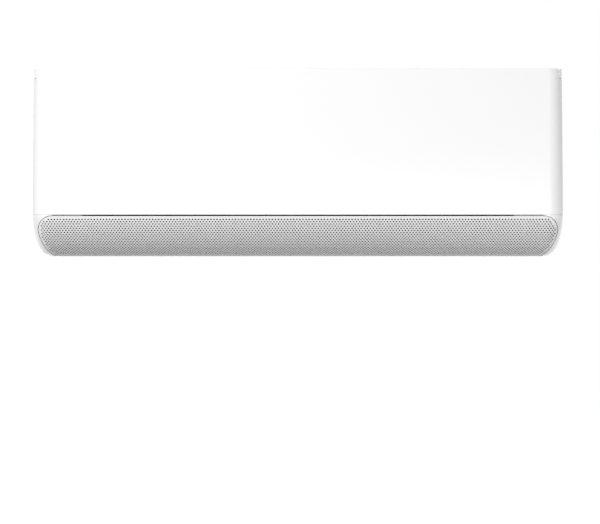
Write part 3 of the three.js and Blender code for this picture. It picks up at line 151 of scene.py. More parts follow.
def sidePrism(outline, x0, x1):
    return prism([(x0, -d, z) for d, z in outline], (x1 - x0, 0, 0))


def frontPrism(outline, d0, d1):
    return prism([(x, -d0, z) for x, z in outline], (0, d0 - d1, 0))


def planPrism(outline, z0, z1):
    return prism([(x, -d, z0) for x, d in outline], (0, 0, z1 - z0))


def rod(start, end, radius, sides=form["rodSides"]):
    bm = bmesh.new()
    start, end = Vector(start), Vector(end)
    bmesh.ops.create_cone(bm, cap_ends=True, segments=sides, radius1=radius, radius2=radius,
                          depth=(end - start).length)
    turn = (end - start).to_track_quat("Z", "Y").to_matrix().to_4x4()
    bmesh.ops.transform(bm, matrix=Matrix.Translation((start + end) / 2) @ turn, verts=bm.verts)
    return newPiece("rod", bm)


def crossRod(d, z, radius, x0, x1):
    return rod((x0, -d, z), (x1, -d, z), radius, form["pinSides"])


def combine(piece, how, *tools):
    # how is UNION, DIFFERENCE or INTERSECT; the tools are used up
    for tool in tools:
        step = piece.modifiers.new("combine", "BOOLEAN")
        step.operation = how
        step.object = tool
        step.solver = "MANIFOLD"
    bpy.context.view_layer.update()
    made = bpy.data.meshes.new_from_object(piece.evaluated_get(bpy.context.evaluated_depsgraph_get()))
    piece.modifiers.clear()
    piece.data = made
    for tool in tools:
        bpy.data.objects.remove(tool)
    return piece


def skin(outer, inner):
    # the layer between two depths under the outer surface, open at the back
    return combine(outerForm(outer, form["rearDepth"]), "DIFFERENCE", outerForm(inner, -far))


def arc(centre, radius, start, end, steps):
    turns = [math.radians(start + (end - start) * i / steps) for i in range(steps + 1)]
    return [(centre[0] + radius * math.cos(a), centre[1] + radius * math.sin(a)) for a in turns]


def mirrored(outline):
    # the right half of an outline with its left half
    return [*outline, *[(-x, other) for x, other in reversed(outline)]]


def spread(centre, half):
    return centre - half, centre + half


def sided(side, inner, outer):
    # a span on the left or right, low end first
    return sorted((side * inner, side * outer))


def dropTwins(mesh):
    # a Boolean can leave a face with a twin on its back, apart from the rest
    bm = bmesh.new()
    bm.from_mesh(mesh)
    twins = [f for f in bm.faces if len({near for e in f.edges for near in e.link_faces}) == 2]
    bmesh.ops.delete(bm, geom=twins, context="FACES")
    bm.to_mesh(mesh)
    bm.free()


def finishPiece(piece, name, body, slot, *nodes):
    # name, finish and body of a piece, and the nodes of the frame that it stands for
    dropTwins(piece.data)
    piece.name = name
    piece.data.name = name
    piece.data.shade_smooth()
    piece.data.set_sharp_from_angle(angle=math.radians(form["sharpAngle"]))
    piece.data.materials.clear()
    piece.data.materials.append(materials[slot])
    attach(piece, body)
    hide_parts(*nodes)
    print("made", name, len(piece.data.polygons), "faces")


def wire(tree, *links):
    # each link is a node and its output, then a node and its input
    for a, aSocket, b, bSocket in links:
        tree.links.new(a.outputs[aSocket], b.inputs[bSocket])


def setValues(node, values):
    for label, value in values.items():
        node.inputs[label].default_value = value


def addNode(tree, kind, values={}):
    node = tree.nodes.new("ShaderNode" + kind)
    setValues(node, values)
    return node


def mathNode(tree, operation, values={}):
    node = addNode(tree, "Math", values)
    node.operation = operation
    return node


def groupShell(name, inputs):
    # a node group that gives colour, roughness and normal
    tree = bpy.data.node_groups.new(name, "ShaderNodeTree")
    for label, value in inputs.items():
        kind = "NodeSocketColor" if isinstance(value, tuple) else "NodeSocketFloat"
        socket = tree.interface.new_socket(label, in_out="INPUT", socket_type=kind)
        socket.default_value = value
    for label, kind in (("Color", "Color"), ("Roughness", "Float"), ("Normal", "Vector")):
        tree.interface.new_socket(label, in_out="OUTPUT", socket_type="NodeSocket" + kind)
    return tree, tree.nodes.new("NodeGroupInput"), tree.nodes.new("NodeGroupOutput")


def newMaterial(name, values):
    material = bpy.data.materials.new(name)
    material.use_nodes = True
    shader = material.node_tree.nodes["Principled BSDF"]
    setValues(shader, values)
    return material, material.node_tree, shader


def groupedMaterial(name, shared, groupValues, shaderValues):
    # a material whose colour, roughness and normal come from a shared group
    material, tree, shader = newMaterial(name, shaderValues)
    group = addNode(tree, "Group")
    group.node_tree = shared
    setValues(group, groupValues)
    wire(tree, (group, "Color", shader, "Base Color"), (group, "Roughness", shader, "Roughness"),
         (group, "Normal", shader, "Normal"))
    return material


grain = {"detail": 3, "driftScale": 9, "driftDetail": 2, "bumpDistance": 0.0004, "glossSway": 2}


def mouldedGrain():
    # fine spark-eroded grain, a slow drift of tone and a little handling gloss
    tree, ins, outs = groupShell("mouldedGrain", {
        "Color": (0.8, 0.8, 0.8, 1), "Grain Scale": 900, "Grain Depth": 0.1, "Roughness": 0.4, "Drift": 0.03})
    place = addNode(tree, "TexCoord")
    fine = addNode(tree, "TexNoise", {"Detail": grain["detail"]})
    slow = addNode(tree, "TexNoise", {"Scale": grain["driftScale"], "Detail": grain["driftDetail"]})
    bump = addNode(tree, "Bump", {"Distance": grain["bumpDistance"]})
    centred = mathNode(tree, "SUBTRACT", {1: 0.5})
    sway = mathNode(tree, "MULTIPLY")
    tone = mathNode(tree, "ADD", {1: 1})
    tint = addNode(tree, "VectorMath")
    tint.operation = "SCALE"
    rough = mathNode(tree, "MULTIPLY_ADD", {1: grain["glossSway"]})
    wire(tree, (place, "Object", fine, "Vector"), (place, "Object", slow, "Vector"),
         (ins, "Grain Scale", fine, "Scale"), (fine, "Fac", bump, "Height"),
         (ins, "Grain Depth", bump, "Strength"), (slow, "Fac", centred, 0), (centred, 0, sway, 0),
         (ins, "Drift", sway, 1), (sway, 0, tone, 0), (ins, "Color", tint, 0), (tone, 0, tint, "Scale"),
         (sway, 0, rough, 0), (ins, "Roughness", rough, 2), (tint, 0, outs, "Color"),
         (rough, 0, outs, "Roughness"), (bump, 0, outs, "Normal"))
    return tree


grainGroup = mouldedGrain()


def plastic(name, look):
    return groupedMaterial(name, grainGroup, {
        "Color": (*look["color"], 1), "Grain Scale": look["scale"], "Grain Depth": look["depth"],
        "Roughness": look["roughness"], "Drift": look["drift"],
    }, {"Specular IOR Level": look.get("specular", 0.5), "Coat Weight": look.get("coat", 0)})


plastics = {
    "casing_white": {"color": (0.89, 0.89, 0.89), "scale": 1100, "depth": 0.04,
                     "roughness": 0.24, "drift": 0.012, "coat": 0.5},
    "panel_white": {"color": (0.89, 0.89, 0.89), "scale": 500, "depth": 0.02,
                    "roughness": 0.2, "drift": 0.01},
    "flap_white": {"color": (0.88, 0.88, 0.88), "scale": 1100, "depth": 0.10,
                   "roughness": 0.5, "drift": 0.015, "specular": 0.12},
    "inner_white": {"color": (0.62, 0.63, 0.63), "scale": 1300, "depth": 0.14,
                    "roughness": 0.5, "drift": 0.03},
    # on the flap's liner this dark tone is painted shade in the holes
    "dark_plastic": {"color": (0.035, 0.037, 0.04), "scale": 1300, "depth": 0.16,
                     "roughness": 0.5, "drift": 0.06},
    "grey_plastic": {"color": (0.30, 0.31, 0.32), "scale": 1300, "depth": 0.14,
                     "roughness": 0.5, "drift": 0.04},
    "rubber": {"color": (0.02, 0.02, 0.02), "scale": 900, "depth": 0.2, "roughness": 0.8, "drift": 0.1},
    "foam": {"color": (0.40, 0.41, 0.41), "scale": 420, "depth": 0.35, "roughness": 0.85, "drift": 0.05},
    "filter": {"color": (0.55, 0.57, 0.58), "scale": 1300, "depth": 0.1, "roughness": 0.5, "drift": 0.04},
}
materials = {name: plastic(name, look) for name, look in plastics.items()}


crystal = {"cloudScale": 60, "cloudDetail": 4, "bumpDistance": 0.0003, "glossSway": 0.3}


def metalSkin():
    # crystals or brushed grain in the tone, with uneven gloss
    tree, ins, outs = groupShell("metalSkin", {
        "Color": (0.8, 0.8, 0.8, 1), "Dark Color": (0.5, 0.5, 0.5, 1), "Spangle Scale": 90,
        "Roughness": 0.4, "Bump Depth": 0.1})
    place = addNode(tree, "TexCoord")
    spangle = addNode(tree, "TexVoronoi")
    split = addNode(tree, "SeparateColor")
    cloud = addNode(tree, "TexNoise", {"Scale": crystal["cloudScale"], "Detail": crystal["cloudDetail"]})
    blend = mathNode(tree, "MULTIPLY")
    tint = addNode(tree, "Mix")
    tint.data_type = "RGBA"
    rough = mathNode(tree, "MULTIPLY_ADD", {1: crystal["glossSway"]})
    bump = addNode(tree, "Bump", {"Distance": crystal["bumpDistance"]})
    # a Mix node's colours are its inputs 6 and 7, and its colour result is output 2
    wire(tree, (place, "Object", spangle, "Vector"), (ins, "Spangle Scale", spangle, "Scale"),
         (spangle, "Color", split, "Color"), (place, "Object", cloud, "Vector"), (split, "Red", blend, 0),
         (cloud, "Fac", blend, 1), (blend, 0, tint, "Factor"), (ins, "Color", tint, 6),
         (ins, "Dark Color", tint, 7), (blend, 0, rough, 0), (ins, "Roughness", rough, 2),
         (ins, "Bump Depth", bump, "Strength"), (cloud, "Fac", bump, "Height"), (tint, 2, outs, "Color"),
         (rough, 0, outs, "Roughness"), (bump, 0, outs, "Normal"))
    return tree


metalGroup = metalSkin()


def metal(name, look):
    return groupedMaterial(name, metalGroup, {
        "Color": (*look["color"], 1), "Dark Color": (*look["dark"], 1), "Spangle Scale": look["scale"],
        "Roughness": look["roughness"], "Bump Depth": look["depth"]}, {"Metallic": 1})


metals = {
    "zinc": {"color": (0.72, 0.73, 0.74), "dark": (0.45, 0.47, 0.49), "scale": 140,
             "roughness": 0.35, "depth": 0.1},
    "steel": {"color": (0.62, 0.62, 0.61), "dark": (0.4, 0.4, 0.4), "scale": 500,
              "roughness": 0.3, "depth": 0.05},
    "coil_fins": {"color": (0.82, 0.83, 0.84), "dark": (0.6, 0.62, 0.64), "scale": 60,
                  "roughness": 0.4, "depth": 0.1},
    "copper": {"color": (0.78, 0.40, 0.25), "dark": (0.48, 0.22, 0.14), "scale": 70,
               "roughness": 0.32, "depth": 0.08},
    "brass": {"color": (0.75, 0.58, 0.28), "dark": (0.55, 0.40, 0.18), "scale": 300,
              "roughness": 0.3, "depth": 0.05},
}
materials.update({name: metal(name, look) for name, look in metals.items()})


lacquer = {
    "roughness": 0.35, "offset": 0.37, "bumpStrength": 0.3, "bumpDistance": 0.0002,
    "tracks": {"Scale": 90, "Mortar Size": 0.06, "Brick Width": 1.6, "Row Height": 0.25,
               "Color1": (0.012, 0.11, 0.04, 1), "Color2": (0.016, 0.15, 0.055, 1),
               "Mortar": (0.05, 0.3, 0.12, 1)},
}


def circuitBoard():
    # green lacquer over fine copper tracks
    material, tree, shader = newMaterial("circuit_board", {"Roughness": lacquer["roughness"]})
    place = addNode(tree, "TexCoord")
    turn = addNode(tree, "Mapping", {"Rotation": (math.pi / 2, 0, 0)})
    tracks = addNode(tree, "TexBrick", lacquer["tracks"])
    tracks.offset = lacquer["offset"]
    bump = addNode(tree, "Bump", {"Strength": lacquer["bumpStrength"], "Distance": lacquer["bumpDistance"]})
    wire(tree, (place, "Object", turn, "Vector"), (turn, "Vector", tracks, "Vector"),
         (tracks, "Color", shader, "Base Color"), (tracks, "Fac", bump, "Height"),
         (bump, "Normal", shader, "Normal"))
    return material


materials["circuit_board"] = circuitBoard()
print("materials ready:", len(materials))

# the shells share edges and hinges, so their values stand together
casing = {
    "wall": 0.0028, "innerSkin": 0.0038, "innerWall": 0.0028, "border": 0.004,
    "windowMargin": 0.042, "windowRight": 0.02, "windowTop": 0.128, "windowBottom": -0.048,
    "inletFloor": 0.1, "channelHalf": 0.372, "channelHeight": -0.092, "channelDepth": 0.058,
    "pivotRoomFront": 0.007, "pivotRoomTop": 0.008,
    "hingeBlockRear": 0.005, "hingeBlockFront": 0.003, "hingeBlockDrop": 0.004, "hingeBlockPast": 0.003,
    "lugRoomDrop": 0.014, "boreSpare": 0.001,
    "screwXs": (-0.25, 0, 0.25), "screwDepth": 0.0703, "screwHead": 0.0043, "screwHeadFrom": -0.001,
    "screwHeadDepth": 0.0025, "screwRadius": 0.0021, "screwBore": 0.009,
    "bossRadius": 0.008, "bossFoot": 0.001, "bossTop": 0.0052,
    "buttonX": 0.255, "buttonZ": -0.068, "buttonRadius": 0.0043, "buttonFrom": 0.15, "buttonTo": 0.23,
}
panel = {
    "wall": 0.0025, "slot": 0.0023, "seam": 0.0003, "rear": 0.176, "topRear": 0.184, "step": 0.132,
    "gap": 0.001, "topGap": 0.004, "hingeDepth": 0.178, "hingeHeight": 0.142,
    "lugX": 0.4, "lugThickness": 0.004, "lugRadius": 0.0024, "lugFrom": 60, "lugTo": 270, "lugSteps": 14,
    "armReach": 0.005, "armLow": 0.008, "armHigh": 0.0025, "armBack": 0.004,
    "pinRadius": 0.0012, "pinLength": 0.005, "pinSink": 0.001,
    "ribHalf": 0.36, "ribRear": 0.18, "ribHeight": 0.002, "ribRise": 0.001, "ribFeet": (0.06, 0),
}
flap = {
    "wall": 0.003, "coverWall": 0.00025, "halfWidth": 0.4083, "top": -0.0851, "topRadius": 0.024,
    "topSteps": 16, "lowerRadius": 0.058, "lowerRise": 0.0435, "lowerFrom": -45, "lowerTo": -8,
    "lowerSteps": 20, "cornerInset": 0.005, "cornerRise": 0.01, "cheekGap": 0.002, "rear": 0.1185,
    "edgeGap": 0.001, "linerMargin": 0.0002, "pivotDepth": 0.121, "pivotHeight": -0.1405,
    "hinges": (-0.3, 0, 0.3), "lugRadius": 0.0034, "lugWidth": 0.008, "lugSteps": 16, "lugGap": 0.0004,
    "lugFoot": 0.0015, "footRear": 0.001, "footFront": 0.006, "sideLugWidth": 0.004,
    "slotFront": 0.006, "slotTop": 0.01, "pinRadius": 0.0016, "pinReach": 0.012,
}
inlet = {"halfWidth": 0.3965, "front": 0.168, "rear": 0.016}
outlet = {
    "outer": 0.005, "inner": 0.0075, "halfMouth": 0.338, "top": -0.0794,
    "lipFront": 0.1125, "lipRear": 0.096, "lipRise": 0.008, "cheekGap": 0.001, "cheekDrop": 0.004,
    "pivotRoomFront": 0.008, "pivotRoomTop": 0.009,
    "lugRear": 0.004, "lugHeelRear": 0.006, "lugHeelDrop": 0.0015, "lugToeRise": 0.001,
    "rackOuter": 0.0476, "rackInner": 0.0354, "rackFrom": -60, "rackTo": 140, "rackSteps": 40,
    "rackXs": (0.351, 0.358),
}
panelBottom = flap["top"] + panel["slot"]
panelHinge = (panel["hingeDepth"], panel["hingeHeight"])
flapPivot = (flap["pivotDepth"], flap["pivotHeight"])
lowerCentre = (flap["halfWidth"] - flap["lowerRadius"], bottom + flap["lowerRise"])
cheekX = lowerCentre[0] + flap["lowerRadius"] * math.cos(math.radians(flap["lowerFrom"])) + flap["cheekGap"]


def panelZone(low, high, step, floor):
    # the panel starts further forward above the step, where it clears the inlet
    lower = centredBlock(far, low, far, floor, step)
    return combine(lower, "UNION", centredBlock(far, high, far, floor, far))


def panelRoom():
    return panelZone(panel["rear"] - panel["gap"], panel["topRear"] - panel["topGap"],
                     panel["step"] + panel["gap"], panelBottom - panel["seam"])


def bellySurfaceDepth(x, z):
    # how far from the wall the belly's surface lies at a point of the front view
    half = form["width"] / 2
    squeeze = 1 - drawnIn(x, half, form["cornerRadius"]) / (slotHeight - bottom)
    plain = slotHeight + (z - slotHeight) / squeeze
    sine = min((bellyHeight - plain) / form["bellyRadius"], 1)
    return (form["bellyDepth"] + form["bellyRadius"] * math.sqrt(1 - sine * sine)
            - drawnIn(x, half, form["endRadius"]))


def flapZone(grow):
    # the flap's outline from the front, cut by its lower corners from above
    half, crown, upper = flap["halfWidth"] + grow, flap["top"] + grow, flap["topRadius"] + grow
    right = [(half, -far), *arc((half - upper, crown - upper), upper, 0, 90, flap["topSteps"])]
    front = frontPrism(mirrored(right), 0, far)
    lower = arc(lowerCentre, flap["lowerRadius"], flap["lowerFrom"], flap["lowerTo"], flap["lowerSteps"])
    corner = [(x + grow, bellySurfaceDepth(x, z) - grow) for x, z in lower]
    inner = corner[0][0] - flap["cornerInset"]
    side = [(inner, -far), (inner, flap["rear"] - grow), *corner,
            (half, corner[-1][1] + flap["cornerRise"]), (half, far)]
    return combine(front, "INTERSECT", planPrism(mirrored(side), -far, far))


def hingeBores():
    radius = flap["pinRadius"] + gap
    return [crossRod(*flapPivot, radius, *spread(x, flap["pinReach"])) for x in flap["hinges"]]


def sideLugSpans(grow):
    # the outlet frame has a lug on either side of each lug of the flap
    offset = flap["lugWidth"] / 2 + flap["lugGap"] + flap["sideLugWidth"] / 2
    return [spread(x + side * offset, flap["sideLugWidth"] / 2 + grow)
            for x in flap["hinges"] for side in (-1, 1)]


def casingSkins():
    # the white outer skin with its rooms cut out, and behind the panel an inner face with a window
    v = casing
    flapRoom = combine(flapZone(flap["edgeGap"]), "INTERSECT",
                       centredBlock(far, outlet["lipFront"], far, -far, far))
    pivotFront = flap["pivotDepth"] + v["pivotRoomFront"]
    combine(flapRoom, "UNION", centredBlock(cheekX, outlet["lipFront"], pivotFront, -far,
                                            bottom + v["pivotRoomTop"]))
    slotEnd = flap["halfWidth"] - flap["topRadius"]
    combine(flapRoom, "UNION", centredBlock(slotEnd, outlet["lipFront"], far, flap["top"], panelBottom))
    piece = combine(skin(0, v["wall"]), "DIFFERENCE", panelRoom(), flapRoom)
    innerDepth = v["innerSkin"] + v["innerWall"]
    edge = panel["rear"] - panel["gap"] - v["border"]
    border = combine(skin(v["wall"] / 2, innerDepth), "INTERSECT",
                     centredBlock(far, edge, far, outlet["top"], far))
    combine(border, "DIFFERENCE", panelRoom())
    face = combine(skin(v["innerSkin"], innerDepth), "INTERSECT",
                   centredBlock(far, edge, far, outlet["top"] + gap, far))
    half = form["width"] / 2 - v["windowMargin"]
    combine(face, "DIFFERENCE", block(-half, half - v["windowRight"], panel["rear"], far,
                                      v["windowBottom"], v["windowTop"]))
    return combine(piece, "UNION", border, face)


def screwRod(x, low, high, radius):
    y = -casing["screwDepth"]
    return rod((x, y, bottom + low), (x, y, bottom + high), radius)


def outerCasing():
    v = casing
    piece = casingSkins()
    depth, height = panelHinge
    lugEnd = panel["lugX"] + panel["lugThickness"]
    button = [(v["buttonX"], -d, v["buttonZ"]) for d in (v["buttonFrom"], v["buttonTo"])]
    openings = [centredBlock(inlet["halfWidth"], inlet["rear"], inlet["front"], v["inletFloor"], far),
                centredBlock(v["channelHalf"], -far, v["channelDepth"], -far, v["channelHeight"]),
                rod(*button, v["buttonRadius"])]
    for side in (-1, 1):
        combine(piece, "UNION", block(
            *sided(side, lugEnd + gap, lugEnd + gap + panel["pinLength"] + v["hingeBlockPast"]),
            depth - v["hingeBlockRear"], depth + v["hingeBlockFront"],
            height - v["hingeBlockDrop"], top - v["wall"] / 2))
        openings.append(block(
            *sided(side, panel["lugX"] - gap, lugEnd + gap), depth - v["hingeBlockRear"], far,
            height - v["lugRoomDrop"], height + panel["lugRadius"] + gap))
        pinEnd = lugEnd + panel["pinLength"] + v["boreSpare"]
        openings.append(crossRod(*panelHinge, panel["pinRadius"] + gap, *sided(side, panel["lugX"], pinEnd)))
    for x in v["screwXs"]:
        combine(piece, "UNION", screwRod(x, v["bossFoot"], v["bossTop"], v["bossRadius"]))
        openings.append(screwRod(x, v["screwHeadFrom"], v["screwHeadDepth"], v["screwHead"]))
        openings.append(screwRod(x, 0, v["screwBore"], v["screwRadius"]))
    return combine(piece, "DIFFERENCE", *openings)


def frontPanel():
    v = panel
    zone = panelZone(v["rear"], v["topRear"], v["step"], panelBottom)
    piece = combine(skin(0, v["wall"]), "INTERSECT", zone)
    upperRib, lowerRib = [centredBlock(v["ribHalf"], v["ribRear"], far, z, z + v["ribHeight"])
                          for z in v["ribFeet"]]
    ribs = combine(skin(v["wall"] / 2, v["wall"] + v["ribRise"]), "INTERSECT",
                   combine(upperRib, "UNION", lowerRib))
    combine(piece, "UNION", ribs)
    front, high = form["topDepth"] + v["armReach"], v["hingeHeight"] - v["armHigh"]
    outline = [*arc(panelHinge, v["lugRadius"], v["lugFrom"], v["lugTo"], v["lugSteps"]),
               (front, v["hingeHeight"] - v["armLow"]), (front, high), (v["hingeDepth"] + v["armBack"], high)]
    lugEnd = v["lugX"] + v["lugThickness"]
    for side in (-1, 1):
        arm = sidePrism(outline, *sided(side, v["lugX"], lugEnd))
        combine(arm, "INTERSECT", outerForm(v["wall"] / 2, form["rearDepth"]))
        span = sided(side, v["lugX"] + v["pinSink"], lugEnd + v["pinLength"])
        combine(arm, "UNION", crossRod(*panelHinge, v["pinRadius"], *span))
        combine(piece, "UNION", arm)
    return piece


def outletZone():
    v = outlet
    return combine(centredBlock(far, v["lipRear"], far, -far, flap["pivotHeight"] + v["lipRise"]), "UNION",
                   centredBlock(far, v["lipFront"], far, -far, v["top"]))


def outletFrame():
    v = outlet
    cheeks = combine(skin(casing["wall"] + gap, v["inner"]), "INTERSECT", outletZone())
    cheekTop = panelBottom - v["cheekDrop"]
    combine(cheeks, "DIFFERENCE", flapZone(flap["edgeGap"] + v["cheekGap"]),
            centredBlock(cheekX + v["cheekGap"], 0, far, -far, cheekTop),
            centredBlock(far, v["lipFront"], far, cheekTop, far))
    piece = combine(skin(v["outer"], v["inner"]), "INTERSECT", outletZone())
    combine(piece, "UNION", cheeks)
    combine(piece, "DIFFERENCE", centredBlock(v["halfMouth"], v["lipFront"], far, -far, far),
            centredBlock(cheekX, v["lipFront"], flap["pivotDepth"] + v["pivotRoomFront"],
                         -far, flap["pivotHeight"] + v["pivotRoomTop"]))
    height, radius = flap["pivotHeight"], flap["lugRadius"]
    outline = [*arc(flapPivot, radius, -90, 90, flap["lugSteps"]),
               (v["lipFront"] - v["lugRear"], height + radius),
               (v["lipFront"] - v["lugHeelRear"], height - v["lugHeelDrop"]),
               (v["lipFront"], height - radius + v["lugToeRise"])]
    for x0, x1 in sideLugSpans(0):
        combine(piece, "UNION", sidePrism(outline, x0, x1))
    low, high, steps = v["rackFrom"], v["rackTo"], v["rackSteps"]
    rackSlot = sidePrism([*arc(flapPivot, v["rackOuter"], low, high, steps),
                          *arc(flapPivot, v["rackInner"], high, low, steps)], *v["rackXs"])
    return combine(piece, "DIFFERENCE", *hingeBores(), rackSlot)


finishPiece(outerCasing(), "casing_shell", "unit", "casing_white", "outer_casing")
finishPiece(frontPanel(), "front_panel_shell", "front_panel", "panel_white", "front_panel")
finishPiece(outletFrame(), "outlet_bezel", "unit", "inner_white", "outlet_frame")

# the flap's holes, laid out on the flat sheet before it is curved
perforation = {
    "pitch": 0.0048, "rowPitch": 0.0039, "radius": 0.0014, "sides": 8, "firstRow": 0.0058, "lastRow": 0.092,
    "margin": 0.0036, "crownMargin": 0.0018, "crownDrop": 0.002, "plainRows": 2, "slack": 1e-6,
    "sheetEnd": 0.119, "sheetHalf": 0.4145, "runSizes": 8, "insideHole": 1.05, "merge": 0.00012,
}


def cellMesh(holed, near, deep):
    # one six-sided cell of the flat sheet between two depths under its face, with or without its hole
    v = perforation
    bm = bmesh.new()
    radius = v["pitch"] / math.sqrt(3)
    rim = bmesh.ops.create_circle(bm, segments=6, radius=radius, cap_ends=not holed)["verts"]
    bmesh.ops.scale(bm, vec=(1, v["rowPitch"] / (v["pitch"] * math.sqrt(3) / 2), 1), verts=rim)
    if holed:
        bmesh.ops.create_circle(bm, segments=v["sides"], radius=v["radius"])
        bmesh.ops.bridge_loops(bm, edges=bm.edges)
    bmesh.ops.translate(bm, vec=(0, 0, -near), verts=bm.verts)
    copy = bmesh.ops.duplicate(bm, geom=[*bm.verts, *bm.edges, *bm.faces])["geom"]
    lower = [g for g in copy if isinstance(g, bmesh.types.BMVert)]
    bmesh.ops.translate(bm, vec=(0, 0, near - deep), verts=lower)
    if holed:
        reach = v["radius"] * v["insideHole"]
        inside = [e for e in bm.edges if all(vert.co.xy.length < reach for vert in e.verts)]
        bmesh.ops.bridge_loops(bm, edges=inside)
    return meshFrom("cell", bm)


def addShifted(bm, mesh, x, y):
    shift = Matrix.Translation((x, y, 0))
    mesh.transform(shift)
    bm.from_mesh(mesh)
    mesh.transform(shift.inverted())


def doubledRuns(cell):
    # the cell joined into runs of 1, 2, 4 ... cells side by side
    runs = [cell]
    while len(runs) < perforation["runSizes"]:
        bm = bmesh.new()
        bm.from_mesh(runs[-1])
        addShifted(bm, runs[-1], perforation["pitch"] * 2 ** (len(runs) - 1), 0)
        runs.append(meshFrom("run", bm))
    return runs


def layRun(bm, runs, x, s, count):
    for power in reversed(range(len(runs))):
        while count >= 2 ** power:
            addShifted(bm, runs[power], x, -s)
            x += perforation["pitch"] * 2 ** power
            count -= 2 ** power


def bellyPoint(x, s, inset):
    # from the flat sheet (x, distance down the belly, depth under the surface) to the curved one
    half = form["width"] / 2 - inset
    lift = drawnIn(x, half, form["cornerRadius"] - inset)
    radius = form["bellyRadius"] - inset
    a = math.radians(form["startTilt"]) + s / form["bellyRadius"]
    start = bellyHeight - radius * math.sin(math.radians(form["startTilt"]))
    floor = bottom + inset
    squeeze = (start - floor - lift) / (start - floor)
    z = start + (bellyHeight - radius * math.sin(a) - start) * squeeze
    d = form["bellyDepth"] + radius * math.cos(a) - drawnIn(x, half, form["endRadius"] - inset)
    return Vector((x, -d, z))


def holeFits(x, s):
    # true where a hole keeps its margin to the flap's outline
    v = perforation
    if not v["firstRow"] - v["slack"] <= s <= v["lastRow"]:
        return False
    p = bellyPoint(x, s, 0)
    out = abs(p.x)
    reach = flap["halfWidth"] - v["margin"]
    radius = flap["topRadius"] - v["crownMargin"]
    across = out - (reach - radius)
    down = flap["top"] - v["crownDrop"] - radius - p.z
    if across > 0 and down < 0:
        return math.hypot(across, down) <= radius
    if out > lowerCentre[0] and p.z < lowerCentre[1]:
        return math.hypot(out - lowerCentre[0], p.z - lowerCentre[1]) <= flap["lowerRadius"] - v["margin"]
    return out <= reach


def perforatedSheet(near, deep):
    v = perforation
    holed, plain = doubledRuns(cellMesh(True, near, deep)), doubledRuns(cellMesh(False, near, deep))
    bm = bmesh.new()
    rows = int((v["sheetEnd"] - v["firstRow"]) / v["rowPitch"]) + 1
    count = 0
    for row in range(-v["plainRows"], rows + 1):
        s = v["firstRow"] + row * v["rowPitch"]
        start = -v["sheetHalf"] + (v["pitch"] / 2 if row % 2 else 0)
        total = int((v["sheetHalf"] - start) / v["pitch"]) + 1
        fits = [i for i in range(total) if holeFits(start + i * v["pitch"], s)]
        first, last = (fits[0], fits[-1] + 1) if fits else (total, total)
        layRun(bm, plain, start, s, first)
        layRun(bm, holed, start + first * v["pitch"], s, last - first)
        layRun(bm, plain, start + last * v["pitch"], s, total - last)
        count += last - first
    bmesh.ops.remove_doubles(bm, verts=bm.verts, dist=v["merge"])
    bmesh.ops.bridge_loops(bm, edges=[e for e in bm.edges if e.is_boundary])
    for vert in bm.verts:
        vert.co = bellyPoint(vert.co.x, -vert.co.y, -vert.co.z)
    bmesh.ops.recalc_face_normals(bm, faces=bm.faces)
    print("flap holes:", count)
    return newPiece("sheet", bm)


def flapLayer(near, deep, margin):
    # one of the flap's two layers, with slots beside the hinge lugs
    piece = combine(perforatedSheet(near, deep), "INTERSECT", flapZone(-margin),
                    centredBlock(far, flap["rear"] + margin, far, -far, far))
    front, crown = flap["pivotDepth"] + flap["slotFront"], flap["pivotHeight"] + flap["slotTop"]
    slots = [block(x0, x1, 0, front, -far, crown) for x0, x1 in sideLugSpans(flap["lugGap"])]
    return combine(piece, "DIFFERENCE", *slots)


def flapShadeLiner():
    # the dark layer behind the thin white one, with the flap's own hinge lugs; its dark colour is painted
    # shade, which makes the walls of the holes look shaded
    piece = flapLayer(flap["coverWall"], flap["wall"], flap["linerMargin"])
    rear, front = spread(flap["pivotDepth"], flap["lugRadius"])
    foot = bottom + flap["lugFoot"]
    outline = [*arc(flapPivot, flap["lugRadius"], 0, 180, flap["lugSteps"]),
               (rear + flap["footRear"], foot), (front + flap["footFront"], foot)]
    for x in flap["hinges"]:
        combine(piece, "UNION", sidePrism(outline, *spread(x, flap["lugWidth"] / 2)))
    return combine(piece, "DIFFERENCE", *hingeBores())


rack = {
    "left": 0.3515, "right": 0.3575, "rear": 0.08, "bottom": -0.16, "top": -0.09,
    "sink": 0.00225, "merge": 1e-6,
}


def gearArm():
    # the curved rack that the pinion drives, kept as the frame has it
    v = rack
    bm = bmesh.new()
    bm.from_mesh(frame["nodes"]["air_flap"].data)
    bmesh.ops.remove_doubles(bm, verts=bm.verts, dist=v["merge"])
    room = combine(block(v["left"], v["right"], v["rear"], far, v["bottom"], v["top"]), "INTERSECT",
                   outerForm(v["sink"], -far))
    return combine(newPiece("arm", bm), "INTERSECT", room)


finishPiece(flapLayer(0, flap["coverWall"], 0), "air_flap_cover", "air_flap", "flap_white", "air_flap")
# the liner's dark finish is painted shade for the flap's holes
finishPiece(flapShadeLiner(), "air_flap_shade_liner", "air_flap", "dark_plastic", "air_flap")
finishPiece(gearArm(), "flap_rack", "air_flap", "flap_white", "air_flap")

# each slab of the coil goes from its first point (depth, height) to its second
coil = {
    "thickness": 0.026, "left": -0.3357, "right": 0.3107, "pitch": 0.0019, "fin": 0.0003,
    "tube": 0.0035, "tubeGap": 0.021, "tubeSides": 12, "tubeSpare": 0.0002,
    "rowOffset": 0.0062, "stagger": 0.25,
    "slabs": {
        "coil_front_lower": ((0.163, -0.036), (0.163, 0.048)),
        "coil_front_upper": ((0.163, 0.058), (0.107, 0.128)),
        "coil_rear": ((0.084, 0.122), (0.026, 0.060)),
    },
}


